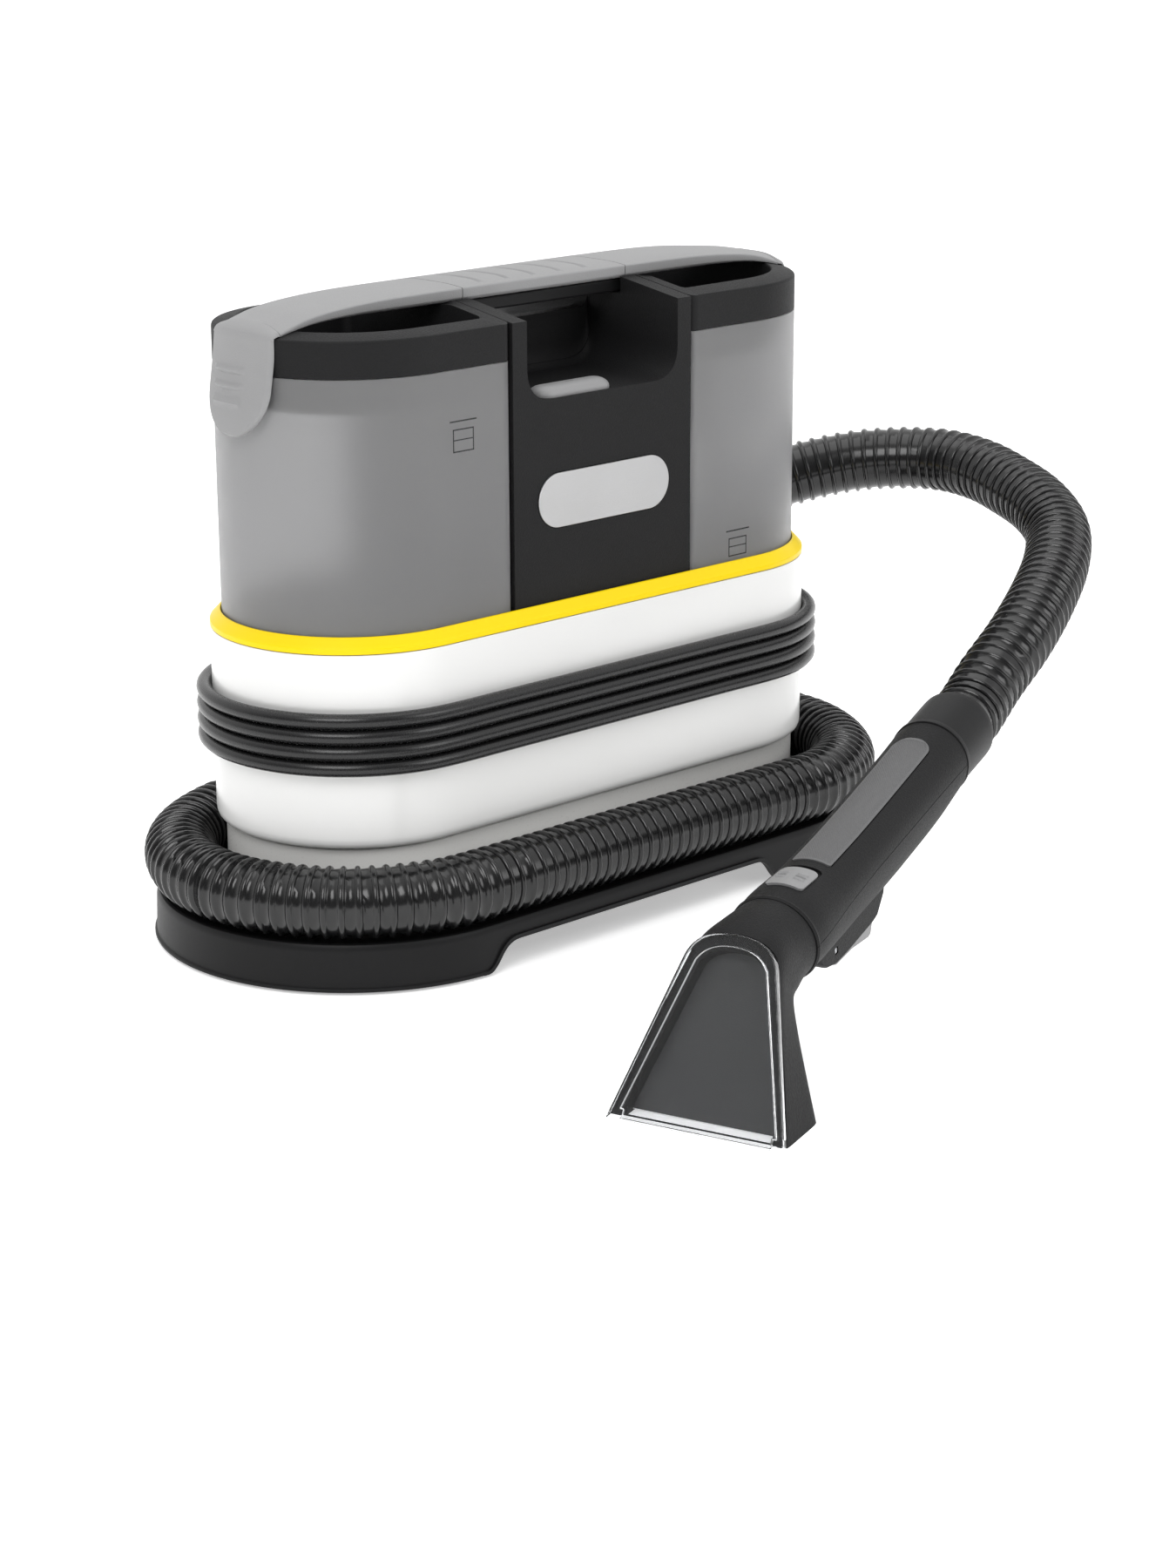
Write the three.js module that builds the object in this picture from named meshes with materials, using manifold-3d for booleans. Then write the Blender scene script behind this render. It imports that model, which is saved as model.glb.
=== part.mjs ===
// Spot extractor: a compact carpet and upholstery cleaner with two lift-out tanks, a hose that is
// stowed round the base tray, a wound mains cord and a hand tool that stands on its nozzle.
// Millimetres, +Z up, +X along the machine, -Y to the front.

import * as THREE from 'three';
import { mergeVertices } from 'three/addons/utils/BufferGeometryUtils.js';
import Module from 'manifold-3d';

const wasm = await Module();
wasm.setup();

// Driving dimensions
const gap = 0.3;                // air between pieces that touch
const far = 400;                // reach of cutting boxes
const spineHalf = 116.5;        // half the straight length that every stadium outline shares
const footHeight = 1.5;
const trayFloorRadius = 111;    // base outline at the floor
const trayTopRadius = 109.2;
const trayTop = 25.4;
const plinthRadius = 70.5;
const plinthTop = 65.2;
const housingRadius = 75.5;
const housingBottom = 66.2;
const housingTop = 169.8;
const wall = 3;
const tankRadius = 69.1;
const tankWall = 2.5;
const tankBottom = 170.4;
const tankTop = 309;
const rimTop = 178.2;
const columnHalf = 64;          // half the column's length
const tankInnerFace = 64.6;     // flat inner side of each tank
const lidTop = 328.3;           // lid height at its outer edge
const crownTop = 335.2;         // lid and cheek height beside the handle
const crownHalf = 24.4;
const basinFloor = 292;
const basinEnd = 71;
const gripHalf = 24;
const gripUnderside = 334;
const gripSplit = 58.2;         // seams between the carry handle and the two grips
const scoopHalf = 54;           // hand recess under the carry handle
const scoopFloor = 286;
const rearFloor = 308;
const webFront = 2;
const webRear = 10;
const webTop = 316;
const barHalf = 20;
const barBottom = 326.3;
const hoseRadius = 19;
const hoseTrackRadius = 96.2;   // hose centre line round the plinth
const hoseTrackHeight = 45.2;
const hoseEndBulge = 7;         // how much further the hose swings out at the right end
const cordRadius = 4;
const cordTrackRadius = 79.9;   // cord centre line round the housing
const windingBottom = 107.1;
const windingTop = 140.7;
const toolTurn = 19.03;         // the hand tool's heading, in degrees from +X
const toolMouth = [-189.4, -328.1];
const collar = [86.3, 67.2];    // centre of the tool's collar, forward of and above the mouth
const handleRise = 11.2;        // slope of the tool's handle, in degrees
const originShift = [0, 126.54, 0];

const degrees = Math.PI / 180;

// ---------------------------------------------------------------- solids

function solidOf(geometry) {
  const bare = geometry.clone();
  bare.deleteAttribute('normal');
  bare.deleteAttribute('uv');
  const merged = mergeVertices(bare, 1e-4);
  const index = merged.index.array;
  const triangles = [];
  for (let i = 0; i < index.length; i += 3) {
    const [a, b, c] = [index[i], index[i + 1], index[i + 2]];
    if (a !== b && b !== c && c !== a) triangles.push(a, b, c);
  }
  return new wasm.Manifold(new wasm.Mesh({
    numProp: 3,
    vertProperties: new Float32Array(merged.attributes.position.array),
    triVerts: new Uint32Array(triangles),
  }));
}

function geometryOf(solid) {
  const mesh = solid.getMesh();
  const geometry = new THREE.BufferGeometry();
  geometry.setAttribute('position', new THREE.BufferAttribute(mesh.vertProperties, 3));
  geometry.setIndex(new THREE.BufferAttribute(mesh.triVerts, 1));
  geometry.computeVertexNormals();
  return geometry;
}

function join(first, ...others) {
  return others.reduce((whole, other) => whole.add(other), first);
}

function cut(first, ...others) {
  return others.reduce((whole, other) => whole.subtract(other), first);
}

function box(x0, x1, y0, y1, z0, z1) {
  const geometry = new THREE.BoxGeometry(x1 - x0, y1 - y0, z1 - z0);
  geometry.translate((x0 + x1) / 2, (y0 + y1) / 2, (z0 + z1) / 2);
  return solidOf(geometry);
}

// A round post along +Z from z0 to z1, or along X or Y when an axis is named.
function post(x, y, z, radius, length, axis = 'z', sides = 20, endRadius = radius) {
  const geometry = new THREE.CylinderGeometry(endRadius, radius, length, sides);
  geometry.rotateX(Math.PI / 2);
  geometry.translate(0, 0, length / 2);
  if (axis === 'x') geometry.rotateY(Math.PI / 2);
  if (axis === 'y') geometry.rotateX(-Math.PI / 2);
  geometry.translate(x, y, z);
  return solidOf(geometry);
}

function ball(x, y, z, radius) {
  const geometry = new THREE.SphereGeometry(radius, 16, 10);
  geometry.translate(x, y, z);
  return solidOf(geometry);
}

function outline(points) {
  return new THREE.Shape(points.map(([a, b]) => new THREE.Vector2(a, b)));
}

// Extrudes a shape. Its own x and y become the named axes and its depth the third.
function extrude(shape, from, to, plane = 'xy', curveSegments = 8) {
  const depth = to - from;
  const geometry = new THREE.ExtrudeGeometry(shape, { depth, bevelEnabled: false, curveSegments });
  geometry.translate(0, 0, from);
  if (plane === 'xz') {
    geometry.rotateX(Math.PI / 2);
    geometry.translate(0, from + to, 0);
  }
  if (plane === 'yz') {
    geometry.rotateX(Math.PI / 2);
    geometry.rotateZ(Math.PI / 2);
  }
  return solidOf(geometry);
}

// A rectangle with round corners, centred on (x, y).
function roundedRectangle(x, y, halfWidth, halfHeight, radius) {
  const shape = new THREE.Shape();
  const corners = [[1, -1, -90], [1, 1, 0], [-1, 1, 90], [-1, -1, 180]];
  for (const [sideX, sideY, start] of corners) {
    const centreX = x + sideX * (halfWidth - radius);
    const centreY = y + sideY * (halfHeight - radius);
    shape.absarc(centreX, centreY, radius, start * degrees, (start + 90) * degrees);
  }
  return shape;
}

function lathe(profile, sides = 28) {
  const points = profile.map(([r, z]) => new THREE.Vector2(r, z));
  const geometry = new THREE.LatheGeometry(points, sides);
  geometry.rotateX(Math.PI / 2);
  return solidOf(geometry);
}

// Sweeps a closed profile of [radius, height] points, listed anticlockwise, round the stadium spine.
function aroundSpine(profile, arcSteps = 18) {
  const stations = [];
  for (const end of [1, -1]) {
    for (let step = 0; step <= arcSteps; step++) {
      const angle = (step / arcSteps - 0.5) * Math.PI;
      stations.push([end * spineHalf, end * Math.cos(angle), end * Math.sin(angle)]);
    }
  }
  const positions = [];
  for (const [centre, alongX, alongY] of stations) {
    for (const [r, z] of profile) positions.push(centre + r * alongX, r * alongY, z);
  }
  const count = profile.length;
  const index = [];
  for (let k = 0; k < stations.length; k++) {
    const next = (k + 1) % stations.length;
    for (let j = 0; j < count; j++) {
      const up = (j + 1) % count;
      if (profile[j][0] === 0 && profile[up][0] === 0) continue;
      index.push(k * count + j, next * count + j, next * count + up);
      index.push(k * count + j, next * count + up, k * count + up);
    }
  }
  const geometry = new THREE.BufferGeometry();
  geometry.setAttribute('position', new THREE.Float32BufferAttribute(positions, 3));
  geometry.setIndex(index);
  return solidOf(geometry);
}

// A solid stadium block, from z0 to z1.
function stadiumBlock(radius, z0, z1) {
  return aroundSpine([[0, z0], [radius, z0], [radius, z1], [0, z1]]);
}

// Joins a row of closed rings of points into one solid, with flat ends.
function loft(rings) {
  const count = rings[0].length;
  const positions = [];
  for (const ring of rings) {
    for (const point of ring) positions.push(point.x, point.y, point.z);
  }
  const index = [];
  for (let k = 0; k + 1 < rings.length; k++) {
    for (let j = 0; j < count; j++) {
      const up = (j + 1) % count;
      index.push(k * count + j, (k + 1) * count + j, (k + 1) * count + up);
      index.push(k * count + j, (k + 1) * count + up, k * count + up);
    }
  }
  const last = (rings.length - 1) * count;
  for (let j = 1; j + 1 < count; j++) {
    index.push(0, j, j + 1);
    index.push(last, last + j + 1, last + j);
  }
  const geometry = new THREE.BufferGeometry();
  geometry.setAttribute('position', new THREE.Float32BufferAttribute(positions, 3));
  geometry.setIndex(index);
  return solidOf(geometry);
}

// A round tube of the given radius along a smooth curve through the points.
function tube(points, radius, steps, sides) {
  const places = points.map((point) => new THREE.Vector3(...point));
  const path = new THREE.CatmullRomCurve3(places, false, 'centripetal');
  const section = new THREE.Shape();
  for (let i = 0; i < sides; i++) {
    const angle = (2 * Math.PI * i) / sides;
    const x = radius * Math.cos(angle);
    const y = radius * Math.sin(angle);
    if (i === 0) section.moveTo(x, y);
    else section.lineTo(x, y);
  }
  return new THREE.ExtrudeGeometry(section, { steps, extrudePath: path });
}

// ---------------------------------------------------------------- materials

const finishes = {
  blackPlastic: [0x1d1d1e, 0.55, 0],
  grainedBlack: [0x2b2b2c, 0.7, 0],
  whitePlastic: [0xe6e6e4, 0.3, 0],
  plinthWhite: [0xd4d2cc, 0.35, 0],
  yellowPlastic: [0xf6da00, 0.35, 0],
  greyPlastic: [0x8f9090, 0.6, 0],
  smokeClear: [0x8c8d8f, 0.25, 0],
  clearPlastic: [0xd8dcde, 0.1, 0],
  badgeMetal: [0xb9b9ba, 0.35, 1],
  softBlack: [0x101011, 0.45, 0],
  hoseBlack: [0x0d0d0e, 0.3, 0],
  steel: [0x9a9c9f, 0.35, 1],
  boardGreen: [0x1f5a38, 0.6, 0],
  orangePlastic: [0xe07a1c, 0.5, 0],
};

function materialOf(finish) {
  const [color, roughness, metalness] = finishes[finish];
  return new THREE.MeshStandardMaterial({ color, roughness, metalness });
}

function piece(name, shape, finish) {
  const geometry = shape.isBufferGeometry ? shape : geometryOf(shape);
  const mesh = new THREE.Mesh(geometry, materialOf(finish));
  mesh.name = name;
  return mesh;
}

// ---------------------------------------------------------------- base and housing

function baseTray() {
  const body = aroundSpine([
    [0, footHeight], [trayFloorRadius, footHeight], [trayFloorRadius, 3.4], [109.9, 3.8], [trayTopRadius, 23.5],
    [107.6, 26.6], [105.6, 26.6], [103.5, trayTop], [0, trayTop],
  ]);
  const hollow = aroundSpine([[0, -1], [107.6, -1], [106, 22], [0, 22]]);
  const arch = new THREE.Shape();
  arch.moveTo(-126, -2);
  arch.lineTo(-124, footHeight - 0.5);
  arch.bezierCurveTo(-112, footHeight, -114, 16.3, -100, 16.3);
  arch.lineTo(76, 16.3);
  arch.bezierCurveTo(89, 16.3, 88, footHeight, 99, footHeight - 0.5);
  arch.lineTo(101, -2);
  let tray = cut(body, hollow, extrude(arch, -far, far, 'xz', 7));
  for (const [x, y] of footPlaces()) tray = join(tray, post(x, y, footHeight + gap, 11, 21, 'z', 14));
  return tray;
}

function footPlaces() {
  const places = [];
  for (const y of [-55, 55]) {
    for (const x of [-165, 165]) places.push([x, y]);
  }
  return places;
}

function basePieces() {
  const names = ['foot_front_left', 'foot_front_right', 'foot_rear_left', 'foot_rear_right'];
  const feet = footPlaces().map(([x, y], i) => piece(names[i], post(x, y, 0, 10, footHeight, 'z', 14), 'softBlack'));
  return [piece('base_tray', baseTray(), 'blackPlastic'), ...feet];
}

const portX = 48;               // where the hose connector meets the plinth
const connectorEnd = 70;
const ventHalf = 26;
const ventX = 50;
const ventBottom = 75;
const ventTop = 87;

function housingPieces() {
  const plinth = aroundSpine([
    [plinthRadius - wall, trayTop + gap], [plinthRadius, trayTop + gap],
    [plinthRadius, plinthTop], [plinthRadius - wall, plinthTop],
  ]);
  const port = post(portX, plinthRadius - 2 * wall, hoseTrackHeight, 15, far, 'y');
  const shell = aroundSpine([
    [70.9, housingBottom], [73.2, 66.8], [74.9, 68.8], [housingRadius, 71.8], [housingRadius, housingTop],
    [housingRadius - wall, housingTop], [housingRadius - wall, 72], [70.9, 69.2],
  ]);
  const vent = box(ventX - ventHalf, ventX + ventHalf, 60, 90, ventBottom, ventTop);
  const rim = aroundSpine([
    [69.7, 170.2], [housingRadius, 170.2], [housingRadius, 172], [74.2, 176], [71.8, 177.7], [69.7, rimTop],
  ]);
  const deck = cut(
    stadiumBlock(housingRadius - wall - gap, 166.2, 170),
    post(-125, 0, 160, 9, 20),
    post(150, 0, 160, 13, 20),
    post(motorX, 0, 160, 19, 20),
  );
  return [
    piece('plinth_skirt', cut(plinth, port), 'plinthWhite'),
    piece('main_housing', cut(shell, vent), 'whitePlastic'),
    piece('trim_rim', rim, 'yellowPlastic'),
    piece('tank_deck', deck, 'blackPlastic'),
    piece('exhaust_grille', exhaustGrille(), 'whitePlastic'),
  ];
}

function exhaustGrille() {
  const front = housingRadius + gap;
  let grille = box(ventX - ventHalf - 4, ventX + ventHalf + 4, front, front + 2.2, ventBottom - 4, ventTop + 4);
  for (let slot = 0; slot < 6; slot++) {
    const x = ventX - ventHalf + 2 + slot * 8.8;
    grille = cut(grille, box(x, x + 4.4, 60, 90, ventBottom, ventTop));
  }
  return grille;
}

// ---------------------------------------------------------------- motor, fan and pump

const motorX = 30;

function driveTrain() {
  const mount = lathe([[42, 25.7], [54, 25.7], [54, 33.7], [42, 33.7], [42, 25.7]]);
  const bowl = lathe([[0, 34], [54, 34], [54, 126], [51, 126], [51, 37], [0, 37]]);
  const motor = lathe([[0, 37.3], [27, 37.3], [27, 98], [14, 104], [6, 104], [6, 96], [0, 96]]);
  let wheel = lathe([[0, 96.3], [4, 96.3], [4, 106], [44, 107], [44, 109], [9, 109], [6, 121], [0, 121]]);
  for (let blade = 0; blade < 8; blade++) {
    const vane = new THREE.BoxGeometry(34, 1.6, 10);
    vane.rotateZ(0.5);
    vane.translate(24, 6, 113.5);
    vane.rotateZ((blade * Math.PI) / 4);
    wheel = join(wheel, solidOf(vane));
  }
  const cover = lathe([[18, 126.3], [54, 126.3], [54, 130], [18, 130], [18, 126.3]]);
  const duct = lathe([[19, 130.3], [22, 130.3], [22, 165.9], [19, 165.9], [19, 130.3]]);
  const outlet = box(50, 90, -12, 12, 60, 90);
  const parts = [
    piece('motor_mount', mount, 'softBlack'),
    piece('fan_housing', cut(bowl, outlet.translate([-motorX, 0, 0])), 'blackPlastic'),
    piece('fan_motor', motor, 'steel'),
    piece('fan_impeller', wheel, 'orangePlastic'),
    piece('fan_cover', cover, 'blackPlastic'),
    piece('intake_duct', duct, 'greyPlastic'),
  ];
  for (const part of parts) part.position.x = motorX;
  return parts;
}

function pumpAndBoard() {
  const pump = cut(box(-102, -50, -19, 19, 25.7, 64), post(-104, 0, 46, 6.4, 34, 'x', 16));
  return [
    piece('pump_body', pump, 'blackPlastic'),
    piece('pump_plunger', post(-108, 0, 46, 6.1, 30, 'x', 16), 'steel'),
    piece('control_board', box(-66, -8, -63, -61.4, 74, 118), 'boardGreen'),
  ];
}

// ---------------------------------------------------------------- column and handle

// A cutter for a hand recess: open at the top, with a floor and two rounded lower corners.
function scoop(floor, corner, front, rear) {
  const shape = new THREE.Shape();
  shape.moveTo(-scoopHalf, far);
  shape.lineTo(-scoopHalf, floor + corner);
  shape.quadraticCurveTo(-scoopHalf, floor, corner - scoopHalf, floor);
  shape.lineTo(scoopHalf - corner, floor);
  shape.quadraticCurveTo(scoopHalf, floor, scoopHalf, floor + corner);
  shape.lineTo(scoopHalf, far);
  return extrude(shape, front, rear, 'xz');
}

function columnBlock() {
  const side = outline([
    [-69, tankBottom], [69, tankBottom], [69, lidTop], [crownHalf, crownTop], [-crownHalf, crownTop], [-69, lidTop],
  ]);
  const block = extrude(side, -columnHalf, columnHalf, 'yz');
  const inside = box(3 - columnHalf, columnHalf - 3, -66, 66, 160, scoopFloor - 4);
  const insideRear = box(3 - columnHalf, columnHalf - 3, webFront + 3, 66, 160, rearFloor - 4);
  const notch = box(-far, far, -crownHalf, crownHalf, barBottom - gap, far);
  return cut(
    block,
    inside,
    insideRear,
    scoop(scoopFloor, 18, -far, webFront),
    scoop(rearFloor, 12, webRear, far),
    scoop(webTop, 8, -far, far),
    notch,
  );
}

const buttonX = -15.5;
const buttonHalf = 26;
const buttonY = -58.5;
const buttonTop = 291.5;
const handleCrown = [341.9, 340.9, 335.8, gripUnderside];

// A cross-section of the handle or a grip: crown height, the side band's upper and lower edges,
// and the underside.
function crownRing(x, crown, upper, lower, under) {
  const points = [
    [-22, under], [22, under], [gripHalf, lower], [gripHalf, upper],
    [12, crown], [-12, crown], [-gripHalf, upper], [-gripHalf, lower],
  ];
  return points.map(([y, z]) => new THREE.Vector3(x, y, z));
}

function columnPieces() {
  const block = columnBlock();
  const holeOutline = roundedRectangle(buttonX, buttonY, buttonHalf + 0.4, 8.9, 8.8);
  const buttonHole = extrude(holeOutline, scoopFloor - 12, scoopFloor + 16);
  const badgeSeat = extrude(roundedRectangle(0, 232, 47.5, 14.9, 14.8), -70, -68.2, 'xz');
  const front = cut(block, box(-far, far, -gap / 2, far, 0, far), buttonHole, badgeSeat);
  const rear = cut(block, box(-far, far, -far, gap / 2, 0, far));
  const bar = box(-columnHalf, columnHalf, -barHalf, barHalf, barBottom, gripUnderside - gap);
  const capEnd = gripSplit - gap;
  const cap = loft([crownRing(capEnd, ...handleCrown), crownRing(-capEnd, ...handleCrown)]);
  const buttonOutline = roundedRectangle(buttonX, buttonY, buttonHalf, 8.5, 8.4);
  const button = extrude(buttonOutline, scoopFloor - 6, buttonTop);
  const badge = extrude(roundedRectangle(0, 232, 47.2, 14.6, 14.5), -69.7, -68.5, 'xz', 10);
  return [
    piece('column_front', front, 'grainedBlack'),
    piece('column_rear', rear, 'grainedBlack'),
    piece('handle_core', bar, 'blackPlastic'),
    piece('carry_handle', cap, 'greyPlastic'),
    piece('badge_plate', badge, 'badgeMetal'),
    piece('power_button', button, 'greyPlastic'),
    piece('power_switch', box(buttonX - 10, buttonX + 10, buttonY - 6, buttonY + 9, 252, 276), 'blackPlastic'),
  ];
}

// ---------------------------------------------------------------- tanks (side is -1 for fresh, 1 for dirty)

// The part of space on one side of the machine, beyond a flat inner face.
function beyond(side, face) {
  return side < 0 ? box(-far, -face, -far, far, 0, far) : box(face, far, -far, far, 0, far);
}

function tankShell(side) {
  const outer = stadiumBlock(tankRadius, tankBottom, tankTop).intersect(beyond(side, tankInnerFace));
  const inner = stadiumBlock(tankRadius - tankWall, tankBottom + wall, far)
    .intersect(beyond(side, tankInnerFace + tankWall));
  return cut(outer, inner);
}

function lidShell(side) {
  const ring = aroundSpine([
    [0, basinFloor - 2.7], [55.4, basinFloor - 2.7], [56.9, 325.2], [66.1, 323.6], [66.1, tankTop + gap],
    [tankRadius, tankTop + gap], [tankRadius, 327.4], [68.2, lidTop], [56.4, 330.9], [54.8, 330.4],
    [53, basinFloor], [0, basinFloor],
  ]).intersect(beyond(side, tankInnerFace));
  const bridgeOutline = outline([
    [-55.4, basinFloor - 2.7], [55.4, basinFloor - 2.7], [55.4, tankTop + gap], [68.9, tankTop + gap],
    [68.9, lidTop], [crownHalf, crownTop], [crownHalf, gripUnderside - gap], [-crownHalf, gripUnderside - gap],
    [-crownHalf, crownTop], [-68.9, lidTop], [-68.9, tankTop + gap], [-55.4, tankTop + gap],
  ]);
  const bridge = extrude(bridgeOutline, Math.min(side * tankInnerFace, side * basinEnd),
    Math.max(side * tankInnerFace, side * basinEnd), 'yz');
  const tankSide = box(-far, far, -far, far, 0, tankTop + gap);
  const insideTank = stadiumBlock(60, 0, far).intersect(beyond(side, tankInnerFace + tankWall + 2));
  return cut(join(ring, bridge), cut(tankSide, insideTank));
}

function lidSeal(side) {
  const outer = stadiumBlock(66.1, 301, 307).intersect(beyond(side, tankInnerFace + tankWall + 0.5));
  const inner = stadiumBlock(60.6, 300, 308).intersect(beyond(side, tankInnerFace + tankWall + 1.6));
  return cut(outer, inner);
}

const flapStart = 178;          // seam between each grip and its end flap
const flapBottom = 278;

// Grip sections from the carry handle outward: place, then the four heights of its crown ring.
const gripSections = [
  [gripSplit + gap, ...handleCrown],
  [105, 341.3, 340.6, 335.7, gripUnderside],
  [128, 340.3, 339.7, 335.4, gripUnderside],
  [148.6, 339, 337.9, 334.2, 333.4],
  [162, 337.8, 335.6, 332.6, 332.4],
  [171, 336.3, 333, 330.9, 331.5],
  [flapStart - gap, 335, 330.9, 329.3, 330.4],
];

// The flap's section from the middle of the tank's round end: its radius and height, up the outer
// face and back down the inner one.
const flapSection = [
  [77.5, 278], [76.8, 288], [74.5, 302], [72.1, 318], [71.2, 327], [70.2, 330], [67.8, 332.8], [61, 335.2],
  [61, 330.9], [64, 330.2], [68.5, 329], [69.5, 328.4], [69.7, 318], [72.1, 302], [74.3, 288], [75, 278],
  [77.5, 278],
];

// Turns a piece made for the dirty tank's side to the side that is asked for.
function onSide(side, solid) {
  return side < 0 ? solid.mirror([1, 0, 0]) : solid;
}

function grip(side) {
  return onSide(side, loft(gripSections.map((section) => crownRing(...section)).reverse()));
}

function latchFlap(side) {
  const tongue = new THREE.Shape();
  tongue.moveTo(-12, 335.4);
  tongue.lineTo(-gripHalf, 331);
  tongue.lineTo(-gripHalf, flapBottom + gripHalf);
  tongue.absarc(0, flapBottom + gripHalf, gripHalf, Math.PI, 2 * Math.PI);
  tongue.lineTo(gripHalf, 331);
  tongue.lineTo(12, 335.4);
  const turned = lathe(flapSection, 72).translate([spineHalf, 0, 0]);
  return onSide(side, turned.intersect(extrude(tongue, flapStart, far, 'yz', 12)));
}

function tankPieces(side, prefix) {
  return {
    lid: piece(`${prefix}_lid`, lidShell(side), 'grainedBlack'),
    seal: piece(`${prefix}_lid_seal`, lidSeal(side), 'softBlack'),
    grip: piece(`${prefix}_grip`, grip(side), 'greyPlastic'),
    latch: piece(`${prefix}_latch`, latchFlap(side), 'greyPlastic'),
  };
}

function freshTank() {
  const portHole = post(-125, 0, 160, 6, 30);
  const shell = cut(tankShell(-1), portHole);
  const valve = join(post(-125, 0, 174.1, 9, 2.5), post(-125, 0, 165.4, 5.6, 9, 'z', 16));
  const { lid, seal, grip: bar, latch } = tankPieces(-1, 'fresh');
  return [piece('fresh_tank', shell, 'smokeClear'), lid, seal, bar, latch, piece('fresh_valve', valve, 'greyPlastic')];
}

const cageX = 150;

function dirtyTank() {
  const standpipe = cut(post(cageX, 0, tankBottom, 15, 62), post(cageX, 0, 150, 12.5, 100));
  const shell = join(cut(tankShell(1), post(cageX, 0, 160, 12.5, 30)), standpipe);
  const { lid, seal, grip: bar, latch } = tankPieces(1, 'dirty');
  const separator = cut(
    box(129, 171, -21, 21, 238, basinFloor - 3),
    box(131.5, 168.5, -18.5, 18.5, 230, basinFloor - 6),
    box(120, 140, -10, 10, 255, 275),
  );
  const cage = cut(
    post(100, 0, 240, 17, basinFloor - 243, 'z', 18),
    post(100, 0, 242.5, 14.5, basinFloor - 248, 'z', 18),
    box(80, 120, -7, 7, 246, 276),
    box(93, 107, -20, 20, 246, 276),
  );
  return [
    piece('dirty_tank', shell, 'smokeClear'), lid, seal, bar, latch,
    piece('separator_box', separator, 'smokeClear'),
    piece('float_cage', cage, 'greyPlastic'),
    piece('float_ball', ball(100, 0, 255.3, 12.5), 'orangePlastic'),
  ];
}

// ---------------------------------------------------------------- hose and mains cord

// Points on the hose's track round one end of the machine.
function trackArc(centreX, angles) {
  return angles.map((angle) => [
    centreX + hoseTrackRadius * Math.cos(angle * degrees),
    hoseTrackRadius * Math.sin(angle * degrees),
    hoseTrackHeight,
  ]);
}

const hoseRoute = [
  [connectorEnd + gap, hoseTrackRadius, hoseTrackHeight],
  [96, hoseTrackRadius, hoseTrackHeight],
  ...trackArc(spineHalf + hoseEndBulge, [82, 52, 20, -12, -44, -74]),
  [100, -hoseTrackRadius, hoseTrackHeight],
  [40, -hoseTrackRadius, hoseTrackHeight],
  [-40, -hoseTrackRadius, hoseTrackHeight],
  [-100, -hoseTrackRadius, hoseTrackHeight],
  ...trackArc(-spineHalf, [255, 225, 195, 165, 135, 105]),
  [-96, 96.8, 46],
  [-60, 98, 55],
  [-20, 101, 71],
  [25, 104.8, 90],
  [60, 105.2, 104],
  [100, 105.2, 118],
  [140, 104, 132],
  [185, 96, 149],
  [231, 76, 169],
  [271, 49.9, 183.3],
  [302, 21, 192],
  [325, -18, 195],
  [327, -50, 193.5],
  [320, -82, 189],
  [308, -114, 183.5],
  [290, -142, 176],
  [262, -165, 167],
  [228, -184, 156],
  [186, -202, 142],
  [150, -212, 127.5],
];

const cordLeadRoute = [
  [-44.7, 82.2, 95],
  [-20, 81, 96.5],
  [20, cordTrackRadius, 99],
  [60, cordTrackRadius, 101.5],
  [85, cordTrackRadius, 102.6],
];

const plugY = 87.5;
const plugZ = 153.5;
const cordTailRoute = [
  [-84, cordTrackRadius, 145.2],
  [-66, 80.6, 146.3],
  [-50, 81, 147],
  [-34, 81, 147],
  [-22, 84.6, 150.4],
  [-12, plugY, plugZ],
  [-4, plugY, plugZ],
];

function hosePieces() {
  const start = [portX - 12, portX + 12];
  const block = box(start[0], start[1], plinthRadius + gap, 112, 0, 63.5);
  const nose = post(portX, hoseTrackRadius, hoseTrackHeight, 21.2 - 2, connectorEnd - portX, 'x', 24, 21.2);
  const wayOut = post(portX, hoseTrackRadius, hoseTrackHeight, 14, far, 'x', 20);
  const wayIn = post(portX, 60, hoseTrackHeight, 10.5, hoseTrackRadius - 60, 'y', 20);
  const aboveTray = box(-far, far, -far, far, -far, trayTop + 1.8);
  const nearCuff = [16, 1].map((away) => toolPoint(handlePoint(cuffEnd + away, 0)));
  const route = [...hoseRoute, ...nearCuff];
  return [
    piece('hose_connector', cut(join(block, nose), wayOut, wayIn, aboveTray), 'blackPlastic'),
    piece('suction_hose', tube(route, hoseRadius, 78, 12), 'hoseBlack'),
  ];
}

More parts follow.
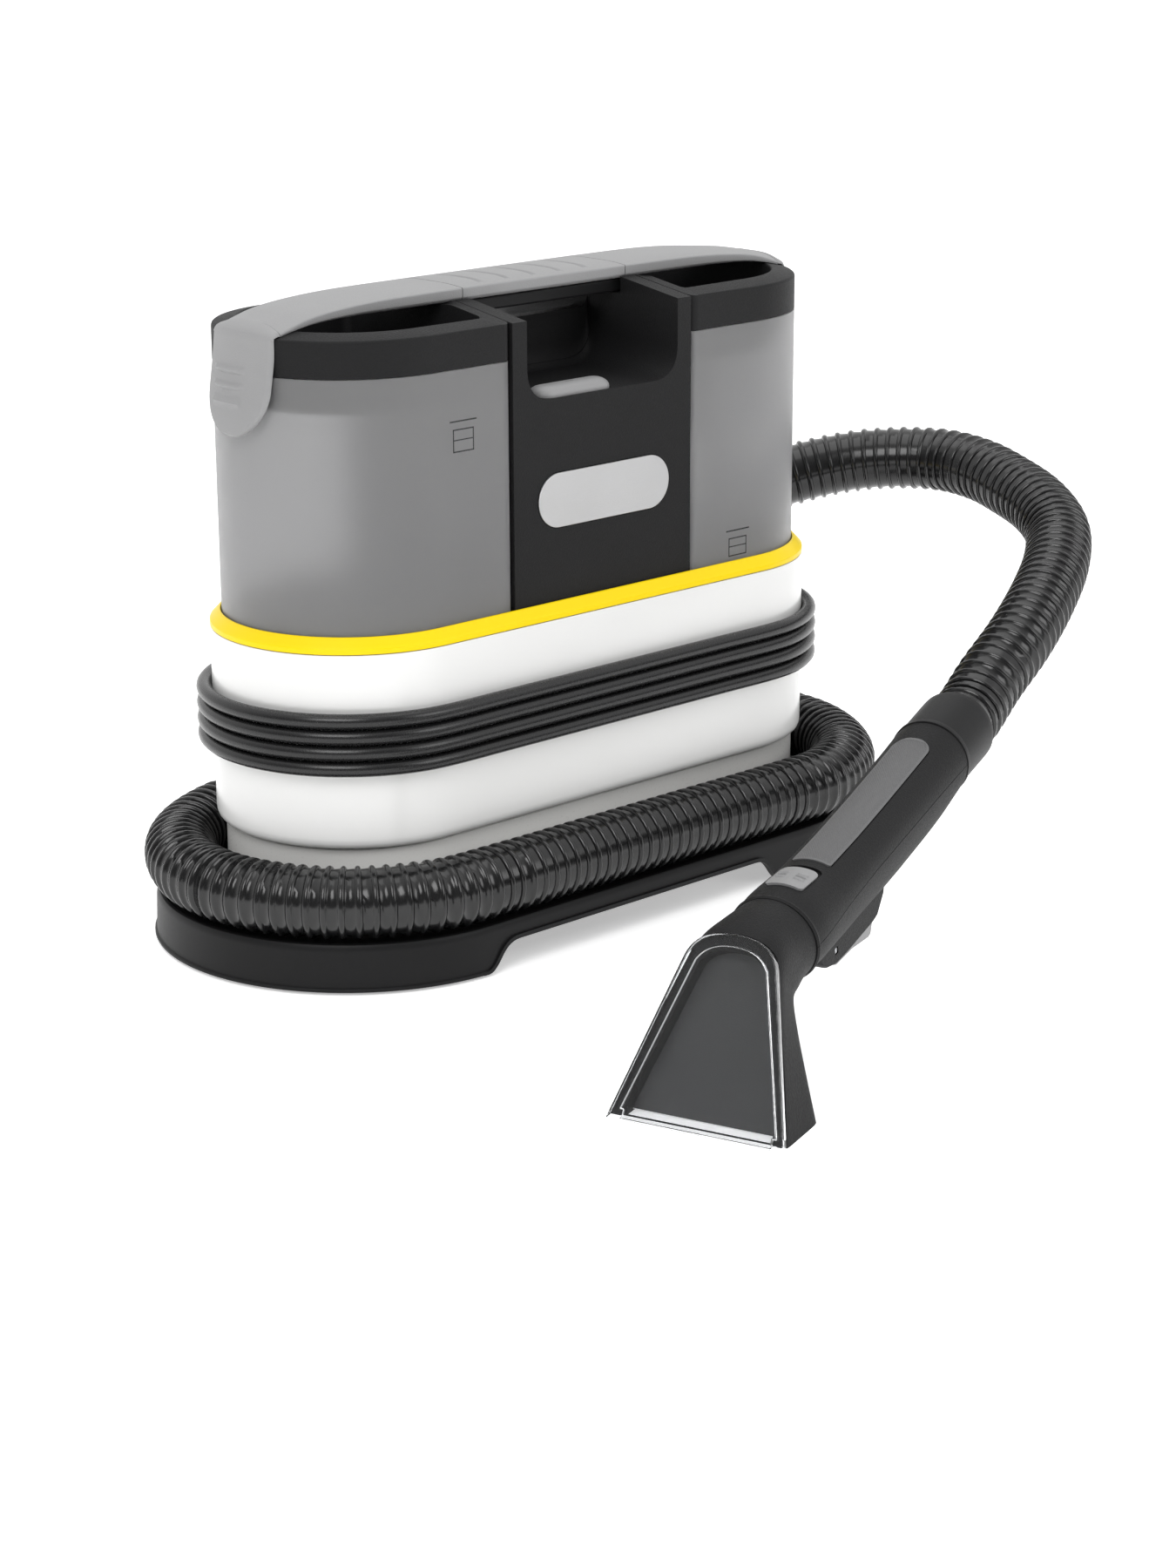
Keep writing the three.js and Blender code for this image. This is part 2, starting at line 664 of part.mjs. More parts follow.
function cordPieces() {
  const block = box(-96, -79, housingRadius + gap, 88.6, 87.5, 102.5);
  const sleeve = post(-80, 82.2, 95, 6.1, 35, 'x', 16, 4.7);
  const ring = aroundSpine([
    [housingRadius + gap, windingBottom], [cordTrackRadius + 4.1, windingBottom],
    [cordTrackRadius + 4.1, windingTop], [housingRadius + gap, windingTop],
  ]);
  const clip = cut(
    join(box(-47, -35, 76, 87, windingTop + 0.5, 153), box(-47, -35, 84.5, 87, 118, 153)),
    post(-60, 81, 147, 5.2, 40, 'x', 16),
  );
  const plugCore = extrude(roundedRectangle(plugY, plugZ, 10.8, 12, 6), -3.6, 34, 'yz', 5);
  const pins = [-1, 1].map((sign) => post(33, plugY, plugZ + sign * 9.5, 2.4, 20, 'x', 10));
  return [
    piece('strain_relief', join(block, sleeve), 'softBlack'),
    piece('cord_lead', tube(cordLeadRoute, cordRadius, 8, 8), 'softBlack'),
    piece('cord_winding', ring, 'softBlack'),
    piece('cord_tail', tube(cordTailRoute, cordRadius, 8, 8), 'softBlack'),
    piece('cord_clip', clip, 'blackPlastic'),
    piece('mains_plug', join(plugCore, ...pins), 'softBlack'),
  ];
}

// ---------------------------------------------------------------- hand tool

const handleEnd = 194.7;
const cuffEnd = 234;

// A point of the handle's own frame (along its axis, above its axis) in the tool's frame.
function handlePoint(along, above) {
  const rise = handleRise * degrees;
  return [
    collar[0] + along * Math.cos(rise) - above * Math.sin(rise),
    collar[1] + along * Math.sin(rise) + above * Math.cos(rise),
  ];
}

// A point of the tool's frame (forward of its mouth, above the floor) in the machine's frame.
function toolPoint([forward, up]) {
  const turn = toolTurn * degrees;
  return [toolMouth[0] + forward * Math.cos(turn), toolMouth[1] + forward * Math.sin(turn), up];
}

// Handle sections: place along the axis, half width, height above the axis, depth below it.
const handleSections = [
  [0, 22.8, 22.3, 22.5],
  [14, 23, 22.2, 24],
  [40, 21.5, 19.2, 27],
  [75, 20.5, 18, 29],
  [103, 20.5, 18, 30],
  [126, 20.5, 18.4, 30],
  [168, 20.8, 19.5, 28],
  [handleEnd, 21.3, 21, 22],
];

// The handle's outer form, grown by an offset, over its whole length or run past both ends.
function handleForm(offset, runOut = 0) {
  const rings = handleSections.map(([along, half, up, down], i) => {
    const first = i === 0 ? -runOut : 0;
    const last = i === handleSections.length - 1 ? runOut : 0;
    const ring = [];
    for (let k = 0; k < 24; k++) {
      const angle = (k * 2 * Math.PI) / 24;
      const height = Math.sin(angle) > 0 ? up + offset : down + offset;
      ring.push(new THREE.Vector3(along + first + last, (half + offset) * Math.cos(angle), height * Math.sin(angle)));
    }
    return ring;
  });
  return loft(rings.reverse());
}

const inlayStart = 46;
const inlayEnd = 178;
const latchStart = 14;
const latchEnd = 35;
const latchTravel = 4;

function inlayOutline(grow) {
  const shape = new THREE.Shape();
  const half = 10 + grow;
  shape.moveTo(inlayStart - grow, -half);
  shape.lineTo(inlayEnd - 7, -half);
  shape.quadraticCurveTo(inlayEnd + grow, -half, inlayEnd + grow, -half + 8);
  shape.lineTo(inlayEnd + grow, half - 8);
  shape.quadraticCurveTo(inlayEnd + grow, half, inlayEnd - 7, half);
  shape.lineTo(inlayStart - grow, half);
  return shape;
}

function latchOutline(grow, travel) {
  const half = 9.5 + grow;
  const shape = new THREE.Shape();
  shape.moveTo(latchStart - grow, -half);
  shape.lineTo(latchEnd + grow + travel, -half);
  shape.lineTo(latchEnd + grow + travel, half);
  shape.lineTo(latchStart - grow, half);
  return shape;
}

const valveAt = 76;
const triggerHalf = 7;
const guardHalf = 12;

// The trigger's guard, which hangs from the handle's lower shell.
function triggerGuard() {
  const side = outline([
    [22, -15], [22, -20], [26, -27], [32, -32], [42, -35.5], [55, -36.5], [88, -37], [94, -36], [98, -32],
    [103, -27], [105, -20], [105, -15],
  ]);
  return cut(extrude(side, -guardHalf, guardHalf, 'xz'), handleForm(-2.6));
}

function handlePieces() {
  const upperHalf = box(-far, far, -far, far, gap / 2, far);
  const lowerHalf = box(-far, far, -far, far, -far, -gap / 2);
  const shell = cut(handleForm(0), handleForm(-2.6, 5));
  const skin = (outside, inside) => cut(handleForm(outside, 5), handleForm(inside, 6));
  const inlaySeat = extrude(inlayOutline(0.3), 0, far, 'xy').intersect(skin(2, -1.3));
  const latchSeatCut = extrude(latchOutline(0.4, latchTravel), 0, far, 'xy').intersect(skin(3, -1.3));
  const triggerSlot = box(32, 99.5, -triggerHalf - 0.5, triggerHalf + 0.5, -far, -20);
  const pinHole = post(43, -20, -28, 1.9, 40, 'y', 12);
  const upper = cut(shell.intersect(upperHalf), inlaySeat, latchSeatCut);
  const lower = cut(join(shell.intersect(lowerHalf), triggerGuard()), triggerSlot, pinHole);
  const inlay = extrude(inlayOutline(0), 0, far, 'xy').intersect(skin(0.4, -0.9));
  const latch = extrude(latchOutline(0, 0), 0, far, 'xy').intersect(skin(1.4, -0.9));
  const triggerSide = outline([
    [34, -29], [38, -23.5], [48, -23], [92, -27.5], [98, -32], [97, -42], [94, -47.5], [91, -48], [71, -43.6],
    [52, -42], [40, -36], [35, -32],
  ]);
  const trigger = cut(extrude(triggerSide, -triggerHalf, triggerHalf, 'xz'), pinHole);
  const pin = post(43, 0.5 - guardHalf, -28, 1.6, 2 * guardHalf - 1, 'y', 12);
  const bore = post(valveAt, 0, -20, 2.7, 12, 'z', 14);
  const valve = cut(box(valveAt - 10, valveAt + 10, -8, 8, -19, -4), bore);
  const plunger = post(valveAt, 0, -25.3, 2.4, 11.3, 'z', 14);
  const cuffBody = lathe([
    [14, 185], [17, 185], [17, 195], [21.6, 195], [21.6, 198], [20.9, 201], [20.9, 231], [20.2, cuffEnd],
    [14, cuffEnd], [14, 185],
  ], 24);
  const cuffGeometry = geometryOf(cuffBody);
  cuffGeometry.rotateY(Math.PI / 2);
  return {
    cuff: piece('hose_cuff', cuffGeometry, 'blackPlastic'),
    rest: [
      piece('handle_upper', upper, 'grainedBlack'),
      piece('handle_lower', lower, 'grainedBlack'),
      piece('grip_inlay', inlay, 'greyPlastic'),
      piece('release_latch', latch, 'greyPlastic'),
      piece('trigger', trigger, 'greyPlastic'),
      piece('trigger_pin', pin, 'steel'),
      piece('spray_valve', valve, 'blackPlastic'),
      piece('valve_plunger', plunger, 'steel'),
    ],
  };
}

// Nozzle sections in the tool's side view: the front point, the back point, the half width and how
// square the section is (2 is an ellipse, larger is squarer).
const nozzleSections = [
  [[0.5, 0], [44, 0], 45, 9],
  [[14, 27], [48.5, 20], 37.2, 8],
  [[28, 54], [55.5, 38], 29.2, 6],
  [[37.5, 72], [63, 47], 24.6, 4],
  [[44, 82], [75, 47], 23, 3.2],
  [[60, 87.5], [84, 44.8], 22, 2.3],
  [handlePoint(-gap, 22.3), handlePoint(-gap, -22.3), 22.3, 2],
];

function nozzleForm() {
  const rings = nozzleSections.map(([front, back, half, square]) => {
    const centre = [(front[0] + back[0]) / 2, (front[1] + back[1]) / 2];
    const reach = [front[0] - centre[0], front[1] - centre[1]];
    const power = (value) => Math.sign(value) * Math.abs(value) ** (2 / square);
    const ring = [];
    for (let k = 0; k < 32; k++) {
      const angle = ((k + 0.5) * 2 * Math.PI) / 32;
      const forward = power(Math.cos(angle));
      const x = centre[0] + reach[0] * forward;
      const z = centre[1] + reach[1] * forward;
      ring.push(new THREE.Vector3(x, half * power(Math.sin(angle)), z));
    }
    return ring;
  });
  return loft(rings);
}

// The cover's face: up the slope from the mouth by half width. Its frame lies on the nozzle's front.
const coverSlope = Math.atan2(79.7, 41.5);
const coverLength = 94.3;
const coverShoulder = 80;
const neckRadius = 12.5;
const tipX = 44;                // the spray tip, behind the mouth

function coverOutline(inset) {
  const shape = new THREE.Shape();
  const low = 45.4 - inset;
  const high = 23.8 - inset;
  const end = coverLength - inset;
  shape.moveTo(inset, -low);
  shape.lineTo(inset, low);
  shape.lineTo(coverShoulder, high);
  shape.bezierCurveTo(end - 4.3, high - 2.7, end, 14 - inset / 2, end, 0);
  shape.bezierCurveTo(end, inset / 2 - 14, end - 4.3, 2.7 - high, coverShoulder, -high);
  return shape;
}

// Lays a plate that was extruded in the cover's frame onto the nozzle's front face.
function onFace(solid) {
  return solid.rotate([0, -coverSlope / degrees, 0]).translate([0.5, 0, 0]);
}

function nozzlePieces() {
  const coverSeat = onFace(extrude(coverOutline(-0.4), -5.4, 20, 'xy', 6));
  const channel = onFace(extrude(coverOutline(7), -14, 0, 'xy', 6));
  const channelMouth = box(7, 16, -37, 37, -5, 16);
  const rise = handleRise;
  const neckBore = post(0, 0, 0, neckRadius, 90, 'x', 20)
    .rotate([0, -rise, 0])
    .translate([collar[0] - 66 * Math.cos(rise * degrees), 0, collar[1] - 66 * Math.sin(rise * degrees)]);
  const spigot = cut(
    post(-6, 0, 0, 17, 20, 'x', 20),
    post(-10, 0, 0, neckRadius, 40, 'x', 20),
  ).rotate([0, -rise, 0]).translate([collar[0], 0, collar[1]]);
  const tipSeat = post(tipX, 0, 4, 5.3, 22, 'z', 14);
  const body = cut(join(cut(nozzleForm(), neckBore), spigot), coverSeat, channel, channelMouth, tipSeat);
  const plate = cut(
    extrude(coverOutline(0), -5, 0, 'xy', 6),
    extrude(coverOutline(6), -6, -2.4, 'xy', 6),
    box(-1, 8, -38, 38, -6, -2.4),
  );
  const tip = join(post(tipX, 0, 12, 4.9, 13, 'z', 14), post(tipX, 0, 7.5, 2.6, 6, 'z', 12));
  return [
    piece('nozzle_body', body, 'blackPlastic'),
    piece('nozzle_cover', cut(onFace(plate), box(-far, far, -far, far, -far, 0)), 'clearPlastic'),
    piece('spray_tip', tip, 'steel'),
  ];
}

function handTool() {
  const { cuff, rest } = handlePieces();
  const handle = new THREE.Group();
  handle.add(cuff, ...rest);
  handle.position.set(collar[0], 0, collar[1]);
  handle.rotation.y = -handleRise * degrees;
  const tool = new THREE.Group();
  tool.add(handle, ...nozzlePieces());
  tool.position.set(toolMouth[0], toolMouth[1], 0);
  tool.rotation.z = toolTurn * degrees;
  return tool;
}

// ---------------------------------------------------------------- the whole object

const spotExtractor = new THREE.Group();
spotExtractor.add(
  ...basePieces(),
  ...housingPieces(),
  ...driveTrain(),
  ...pumpAndBoard(),
  ...columnPieces(),
  ...freshTank(),
  ...dirtyTank(),
  ...hosePieces(),
  ...cordPieces(),
  handTool(),
);
spotExtractor.position.set(...originShift);

const object = new THREE.Group();
object.add(spotExtractor);

export default object;
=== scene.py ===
"""Looks for the spot extractor. Shapes are written in millimetres in the machine's own frame, whose
origin is the middle of its base, and routes in metres in that frame; mesh data is in metres."""

import math

import bmesh
import bpy
from mathutils import Matrix, Vector


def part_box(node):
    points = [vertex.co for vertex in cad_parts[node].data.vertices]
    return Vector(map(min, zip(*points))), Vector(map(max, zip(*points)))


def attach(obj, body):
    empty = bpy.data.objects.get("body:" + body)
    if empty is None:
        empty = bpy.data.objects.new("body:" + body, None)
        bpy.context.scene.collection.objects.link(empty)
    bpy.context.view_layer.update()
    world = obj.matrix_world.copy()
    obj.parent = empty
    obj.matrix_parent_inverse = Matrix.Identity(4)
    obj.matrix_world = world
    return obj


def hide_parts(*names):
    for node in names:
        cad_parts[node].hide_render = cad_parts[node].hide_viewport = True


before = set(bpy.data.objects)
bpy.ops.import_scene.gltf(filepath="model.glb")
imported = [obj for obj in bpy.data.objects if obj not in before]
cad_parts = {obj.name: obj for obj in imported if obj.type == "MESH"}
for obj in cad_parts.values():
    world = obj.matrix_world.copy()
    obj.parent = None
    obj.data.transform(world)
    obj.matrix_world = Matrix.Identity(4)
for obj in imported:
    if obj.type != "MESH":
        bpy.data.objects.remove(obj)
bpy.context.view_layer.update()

MM = 0.001
tray_low, tray_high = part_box("base_tray")
MACHINE = Matrix.Translation(((tray_low.x + tray_high.x) / 2, (tray_low.y + tray_high.y) / 2, 0))
MACHINE_MM = MACHINE @ Matrix.Scale(MM, 4)

# Driving sizes, in millimetres
SPINE = 116.5  # half the straight length of every stadium outline
HOUSING_RADIUS = 75.5
PLINTH_RADIUS = 70.5
TANK_RADIUS = 69.1
TANK_FACE = 64.6  # inner flat side of each tank
COLUMN_HALF = 69  # half the column's depth
SCOOP_HALF = 54  # half the width of the hand recess
CROWN_TOP = 335.2  # top of the column's cheeks
CROWN_HALF = 24.4  # half the width of their level part
CROWN_REST = 333.7  # top of a lid where its grip lies on it
LID_EDGE = 328.3
GRIP_HALF = 24
FLAP_SEAM = 178  # where a grip ends and its flap begins
BUTTON_PLACE = (-15.5, -58.5)
BUTTON_HALF = (26, 8.5)
BADGE_HEIGHT = 232
HOSE_RADIUS = 19
HOSE_PITCH = 7.6
HOSE_BEAD = (1.65, 1.75)  # half the length of one bead, and its height
HOSE_TRACK = 96.2  # from the spine to the middle of the hose
CORD_RADIUS = 4
CORD_TRACK = 79.9
CORD_TURNS = 4
COLLAR = (86.3, 67.2)  # middle of the handle's front end, in the tool's frame
CUFF_END = 234  # far end of the hose's cuff, along the handle
INLAY_SPAN = (46, 178)  # ends of the ribbed strip, along the handle

HANDLE_AXIS = Matrix.Translation((COLLAR[0], 0, COLLAR[1])) @ Matrix.Rotation(-math.radians(11.2), 4, "Y")
TOOL_MM = MACHINE_MM @ Matrix.Translation((-189.4, -328.1, 0)) @ Matrix.Rotation(math.radians(19.03), 4, "Z")
HANDLE_MM = TOOL_MM @ HANDLE_AXIS


# ---------------------------------------------------------------- camera

def add_camera():
    """The camera, aimed by its heading and its dip, at the photographed angle."""
    heading, dip, roll = (math.radians(a) for a in (-43.14, 17.09, -0.17))
    forward = Vector((-math.sin(heading) * math.cos(dip), math.cos(heading) * math.cos(dip), -math.sin(dip)))
    right = Vector((math.cos(heading), math.sin(heading), 0))
    up = right.cross(forward)
    right, up = (
        right * math.cos(roll) + up * math.sin(roll),
        up * math.cos(roll) - right * math.sin(roll),
    )
    data = bpy.data.cameras.new("camera")
    data.sensor_width = 24
    data.lens = 49.83
    data.shift_x = -0.0081
    data.shift_y = -0.0092
    data.clip_end = 20
    camera = bpy.data.objects.new("camera", data)
    turn = Matrix((right, up, -forward)).transposed().to_4x4()
    target = MACHINE @ Vector((0.06137, 0, 0.049))
    camera.matrix_world = Matrix.Translation(target - forward * 1.8675) @ turn
    bpy.context.scene.collection.objects.link(camera)
    bpy.context.scene.camera = camera


add_camera()


# ---------------------------------------------------------------- materials

def shader_nodes(name):
    material = bpy.data.materials.new(name)
    material.use_nodes = True
    tree = material.node_tree
    return material, tree, tree.nodes["Principled BSDF"]


def noise(tree, scale, detail=3.0, stretch=None):
    """A noise texture in the object's own coordinates; scale is in features per metre."""
    coordinates = tree.nodes.new("ShaderNodeTexCoord")
    texture = tree.nodes.new("ShaderNodeTexNoise")
    texture.inputs["Scale"].default_value = scale
    texture.inputs["Detail"].default_value = detail
    source = coordinates.outputs["Object"]
    if stretch:
        mapping = tree.nodes.new("ShaderNodeMapping")
        mapping.inputs["Scale"].default_value = stretch
        tree.links.new(source, mapping.inputs["Vector"])
        source = mapping.outputs["Vector"]
    tree.links.new(source, texture.inputs["Vector"])
    return texture.outputs["Fac"]


def spread(tree, source, low, high):
    """Maps a noise value onto a range."""
    node = tree.nodes.new("ShaderNodeMapRange")
    node.inputs["From Min"].default_value = 0.3
    node.inputs["From Max"].default_value = 0.7
    node.inputs["To Min"].default_value = low
    node.inputs["To Max"].default_value = high
    tree.links.new(source, node.inputs["Value"])
    return node.outputs["Result"]


def tint(tree, source, colour, amount):
    """A colour that is a little darker and lighter from place to place."""
    mix = tree.nodes.new("ShaderNodeMix")
    mix.data_type = "RGBA"
    mix.inputs["A"].default_value = [c * (1 - amount) for c in colour] + [1]
    mix.inputs["B"].default_value = [min(1, c * (1 + amount)) for c in colour] + [1]
    tree.links.new(source, mix.inputs["Factor"])
    return mix.outputs["Result"]


def plastic(name, colour, roughness, grain=0.0, grain_scale=2600, mottle=0.05, specular=0.5, coat=0.0,
            metallic=0.0, stretch=None):
    """A moulded surface: a fine grain in its relief, and slow changes of colour and gloss."""
    material, tree, shader = shader_nodes(name)
    slow = noise(tree, 22, 2)
    fine = noise(tree, grain_scale, 2, stretch)
    tree.links.new(tint(tree, slow, colour, mottle), shader.inputs["Base Color"])
    tree.links.new(spread(tree, fine, roughness * 0.88, roughness * 1.12), shader.inputs["Roughness"])
    shader.inputs["Metallic"].default_value = metallic
    shader.inputs["Specular IOR Level"].default_value = specular
    shader.inputs["Coat Weight"].default_value = coat
    shader.inputs["Coat Roughness"].default_value = 0.08
    if grain:
        bump = tree.nodes.new("ShaderNodeBump")
        bump.inputs["Strength"].default_value = grain
        bump.inputs["Distance"].default_value = 0.0003
        tree.links.new(fine, bump.inputs["Height"])
        tree.links.new(bump.outputs["Normal"], shader.inputs["Normal"])
    return material


def clear(name, colour, roughness, ior, transmission):
    """A see-through moulding, frosted by its roughness."""
    material, tree, shader = shader_nodes(name)
    slow = noise(tree, 30, 2)
    tree.links.new(tint(tree, slow, colour, 0.03), shader.inputs["Base Color"])
    fine = noise(tree, 1500, 2)
    tree.links.new(spread(tree, fine, roughness * 0.9, roughness * 1.1), shader.inputs["Roughness"])
    shader.inputs["Transmission Weight"].default_value = transmission
    shader.inputs["IOR"].default_value = ior
    return material


GRAINED = plastic("grained_black", (0.0105, 0.0105, 0.011), 0.56, 0.7, 1300, 0.12, 0.15)
BLACK = plastic("satin_black", (0.0085, 0.0085, 0.009), 0.45, 0.2, 2200, 0.12, 0.17)
WHITE = plastic("gloss_white", (0.78, 0.78, 0.77), 0.24, 0.03, 900, 0.012, 0.5, 0.15)
PLINTH = plastic("plinth_white", (0.86, 0.855, 0.83), 0.3, 0.03, 900, 0.015)
YELLOW = plastic("rim_yellow", (0.88, 0.64, 0.0), 0.35, 0.06, 1600, 0.02, 0.2)
GREY = plastic("fine_grey", (0.27, 0.27, 0.273), 0.55, 0.45, 1700, 0.05, 0.35)
INLAY = plastic("inlay_grey", (0.12, 0.12, 0.122), 0.6, 0.4, 1700, 0.06, 0.3)
BUTTON_GREY = plastic("button_grey", (0.23, 0.23, 0.233), 0.45, 0.25, 1900, 0.04)
PANEL = plastic("panel_grey", (0.06, 0.06, 0.061), 0.5, 0.2, 1500, 0.08, 0.3)
RUBBER = plastic("cord_rubber", (0.008, 0.008, 0.0085), 0.28, 0.08, 1400, 0.1, 0.45)
HOSE = plastic("hose_gloss", (0.006, 0.006, 0.0063), 0.2, 0.05, 800, 0.12, 0.5)
BADGE = plastic("badge_metal", (0.5, 0.5, 0.505), 0.36, 0.5, 60, 0.06, 0.5, 0, 1.0, (6, 6, 260))
STEEL = plastic("machined_steel", (0.5, 0.51, 0.53), 0.3, 0.1, 900, 0.05, 0.5, 0, 1.0)
ORANGE = plastic("float_orange", (0.75, 0.25, 0.02), 0.4, 0.1, 1500)
BOARD = plastic("circuit_board", (0.02, 0.12, 0.05), 0.5, 0.2, 700, 0.2)
PRINT = plastic("mark_print", (0.02, 0.02, 0.021), 0.5, 0.1, 1500)
INNER = plastic("inner_smoke", (0.55, 0.55, 0.555), 0.45, 0.1, 1200, 0.04)
SMOKE = clear("smoke_tank", (0.56, 0.56, 0.565), 0.4, 1.3, 0.8)
CLEAR = clear("clear_cover", (0.95, 0.96, 0.97), 0.03, 1.45, 1.0)


# ---------------------------------------------------------------- mesh tools

def mesh_of(points, faces):
    """A bmesh of points and faces given by number."""
    bm = bmesh.new()
    verts = [bm.verts.new(p) for p in points]
    for face in faces:
        bm.faces.new([verts[i] for i in face])
    return bm


def loft(rings):
    """A closed solid through a row of rings with equal counts of points, with flat ends."""
    count = len(rings[0])
    points = [p for ring in rings for p in ring]
    faces = [list(range(count - 1, -1, -1)), list(range(len(points) - count, len(points)))]
    for k in range(len(rings) - 1):
        for j in range(count):
            a, b = k * count + j, k * count + (j + 1) % count
            faces.append([a, b, b + count, a + count])
    return mesh_of(points, faces)


def stadium(radius, steps=44):
    """Points round a stadium outline."""
    points = []
    for end in (1, -1):
        for step in range(steps + 1):
            angle = (step / steps - 0.5) * math.pi
            points.append((end * (SPINE + radius * math.cos(angle)), end * radius * math.sin(angle)))
    return points


def around_spine(profile, steps=44):
    """A ring swept round the stadium spine from a closed profile of (radius, height) points."""
    loops = [[(x, y, z) for x, y in stadium(r, steps)] for r, z in profile]
    count = len(loops[0])
    points = [p for loop in loops for p in loop]
    faces = []
    for k in range(len(loops)):
        after = (k + 1) % len(loops)
        for j in range(count):
            up = (j + 1) % count
            faces.append([k * count + j, k * count + up, after * count + up, after * count + j])
    return mesh_of(points, faces)


def stadium_block(radius, low, high, steps=44):
    return loft([[(x, y, z) for x, y in stadium(radius, steps)] for z in (low, high)])


def prism(points, low, high, plane="xy"):
    """Extrudes an outline. Its two coordinates are the named axes, and the third runs low to high."""
    order = {
        "xy": lambda a, b, c: (a, b, c),
        "xz": lambda a, b, c: (a, c, b),
        "yz": lambda a, b, c: (c, a, b),
    }
    return loft([[order[plane](a, b, c) for a, b in points] for c in (low, high)])


def bezier(curve):
    """Points along a plane cubic curve, from its four control points."""
    points = []
    for step in range(17):
        t = step / 16
        weights = ((1 - t)**3, 3 * t * (1 - t)**2, 3 * t * t * (1 - t), t**3)
        points.append(tuple(sum(w * p[axis] for w, p in zip(weights, curve)) for axis in (0, 1)))
    return points


def block(x0, x1, y0, y1, z0, z1):
    return prism([(x0, y0), (x1, y0), (x1, y1), (x0, y1)], z0, z1)


def rounded(x, y, half_x, half_y, radius, steps=10):
    """A rectangle with round corners."""
    points = []
    for corner, (sx, sy) in enumerate(((1, -1), (1, 1), (-1, 1), (-1, -1))):
        for step in range(steps + 1):
            angle = math.radians(90 * (corner - 1) + 90 * step / steps)
            points.append((
                x + sx * (half_x - radius) + radius * math.cos(angle),
                y + sy * (half_y - radius) + radius * math.sin(angle),
            ))
    return points


def turned(profile, sides=64):
    """A solid of revolution about the local X axis from (place, radius) points that close on themselves."""
    points = []
    for place, radius in profile:
        for k in range(sides):
            angle = 2 * math.pi * k / sides
            points.append((place, radius * math.cos(angle), radius * math.sin(angle)))
    faces = []
    for i in range(len(profile)):
        after = (i + 1) % len(profile)
        for k in range(sides):
            up = (k + 1) % sides
            faces.append([i * sides + k, after * sides + k, after * sides + up, i * sides + up])
    return mesh_of(points, faces)


def raw_object(bm):
    mesh = bpy.data.meshes.new("working")
    bmesh.ops.recalc_face_normals(bm, faces=bm.faces)
    bm.to_mesh(mesh)
    bm.free()
    obj = bpy.data.objects.new("working", mesh)
    bpy.context.scene.collection.objects.link(obj)
    return obj


def apply_modifiers(obj):
    bpy.context.view_layer.update()
    graph = bpy.context.evaluated_depsgraph_get()
    mesh = bpy.data.meshes.new_from_object(obj.evaluated_get(graph))
    obj.modifiers.clear()
    obj.data = mesh


def combine(bm, operation, *others):
    """Cuts, joins or intersects a bmesh with others, and gives back one bmesh."""
    target = raw_object(bm)
    for other in others:
        tool = raw_object(other)
        modifier = target.modifiers.new("combine", "BOOLEAN")
        modifier.operation = operation
        modifier.solver = "EXACT"
        modifier.object = tool
        apply_modifiers(target)
        bpy.data.objects.remove(tool)
    result = bmesh.new()
    result.from_mesh(target.data)
    bpy.data.objects.remove(target)
    bmesh.ops.remove_doubles(result, verts=result.verts, dist=0.002)
    bmesh.ops.dissolve_limit(result, angle_limit=math.radians(0.4), verts=result.verts, edges=result.edges)
    return result


def cut(bm, *others):
    return combine(bm, "DIFFERENCE", *others)


def cad_mesh(node):
    """A copy of a CAD node's mesh with its flat areas merged, in metres."""
    bm = bmesh.new()
    bm.from_mesh(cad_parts[node].data)
    bmesh.ops.remove_doubles(bm, verts=bm.verts, dist=0.00001)
    bmesh.ops.dissolve_limit(bm, angle_limit=math.radians(0.6), verts=bm.verts, edges=bm.edges)
    return bm


def piece(name, bm, material, body, nodes=(), bevel=0.0, segments=3, matrix=MACHINE_MM, sharp=38):
    """Makes the final piece: bevelled edges, smooth shading, its body, and the CAD nodes it stands for."""
    obj = raw_object(bm)
    obj.name = name
    obj.data.transform(matrix)
    if matrix.determinant() < 0:
        obj.data.flip_normals()
    if bevel:
        modifier = obj.modifiers.new("edges", "BEVEL")
        modifier.width = bevel * MM
        modifier.segments = segments
        modifier.limit_method = "ANGLE"
        modifier.angle_limit = math.radians(30)
        apply_modifiers(obj)
    obj.data.name = name
    obj.data.materials.clear()
    obj.data.materials.append(material)
    obj.data.polygons.foreach_set("use_smooth", [True] * len(obj.data.polygons))
    obj.data.set_sharp_from_angle(angle=math.radians(sharp))
    shade = obj.modifiers.new("shading", "WEIGHTED_NORMAL")
    shade.keep_sharp = True
    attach(obj, body)
    if nodes:
        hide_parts(*nodes)
    return obj


def refined(node, material, body="machine", bevel=0.5, sharp=38):
    """A CAD node's own shape with fine rounded edges."""
    name = node + "_finish"
    return piece(name, cad_mesh(node), material, body, [node], bevel, 3, Matrix.Identity(4), sharp)


def interpolate(table, value):
    """Reads a table of (place, values...) rows with a smooth curve through them."""
    rows = sorted(table)
    value = min(max(value, rows[0][0]), rows[-1][0])
    i = max(j for j in range(len(rows) - 1) if rows[j][0] <= value)
    a, b = rows[i], rows[i + 1]
    before, after = rows[max(i - 1, 0)], rows[min(i + 2, len(rows) - 1)]
    width = b[0] - a[0]
    t = (value - a[0]) / width
    result = []
    for column in range(1, len(a)):
        slope_a = (b[column] - before[column]) / (b[0] - before[0]) * width
        slope_b = (after[column] - a[column]) / (after[0] - a[0]) * width
        result.append(
            (2 * t**3 - 3 * t**2 + 1) * a[column]
            + (t**3 - 2 * t**2 + t) * slope_a
            + (3 * t**2 - 2 * t**3) * b[column]
            + (t**3 - t**2) * slope_b
        )
    return result


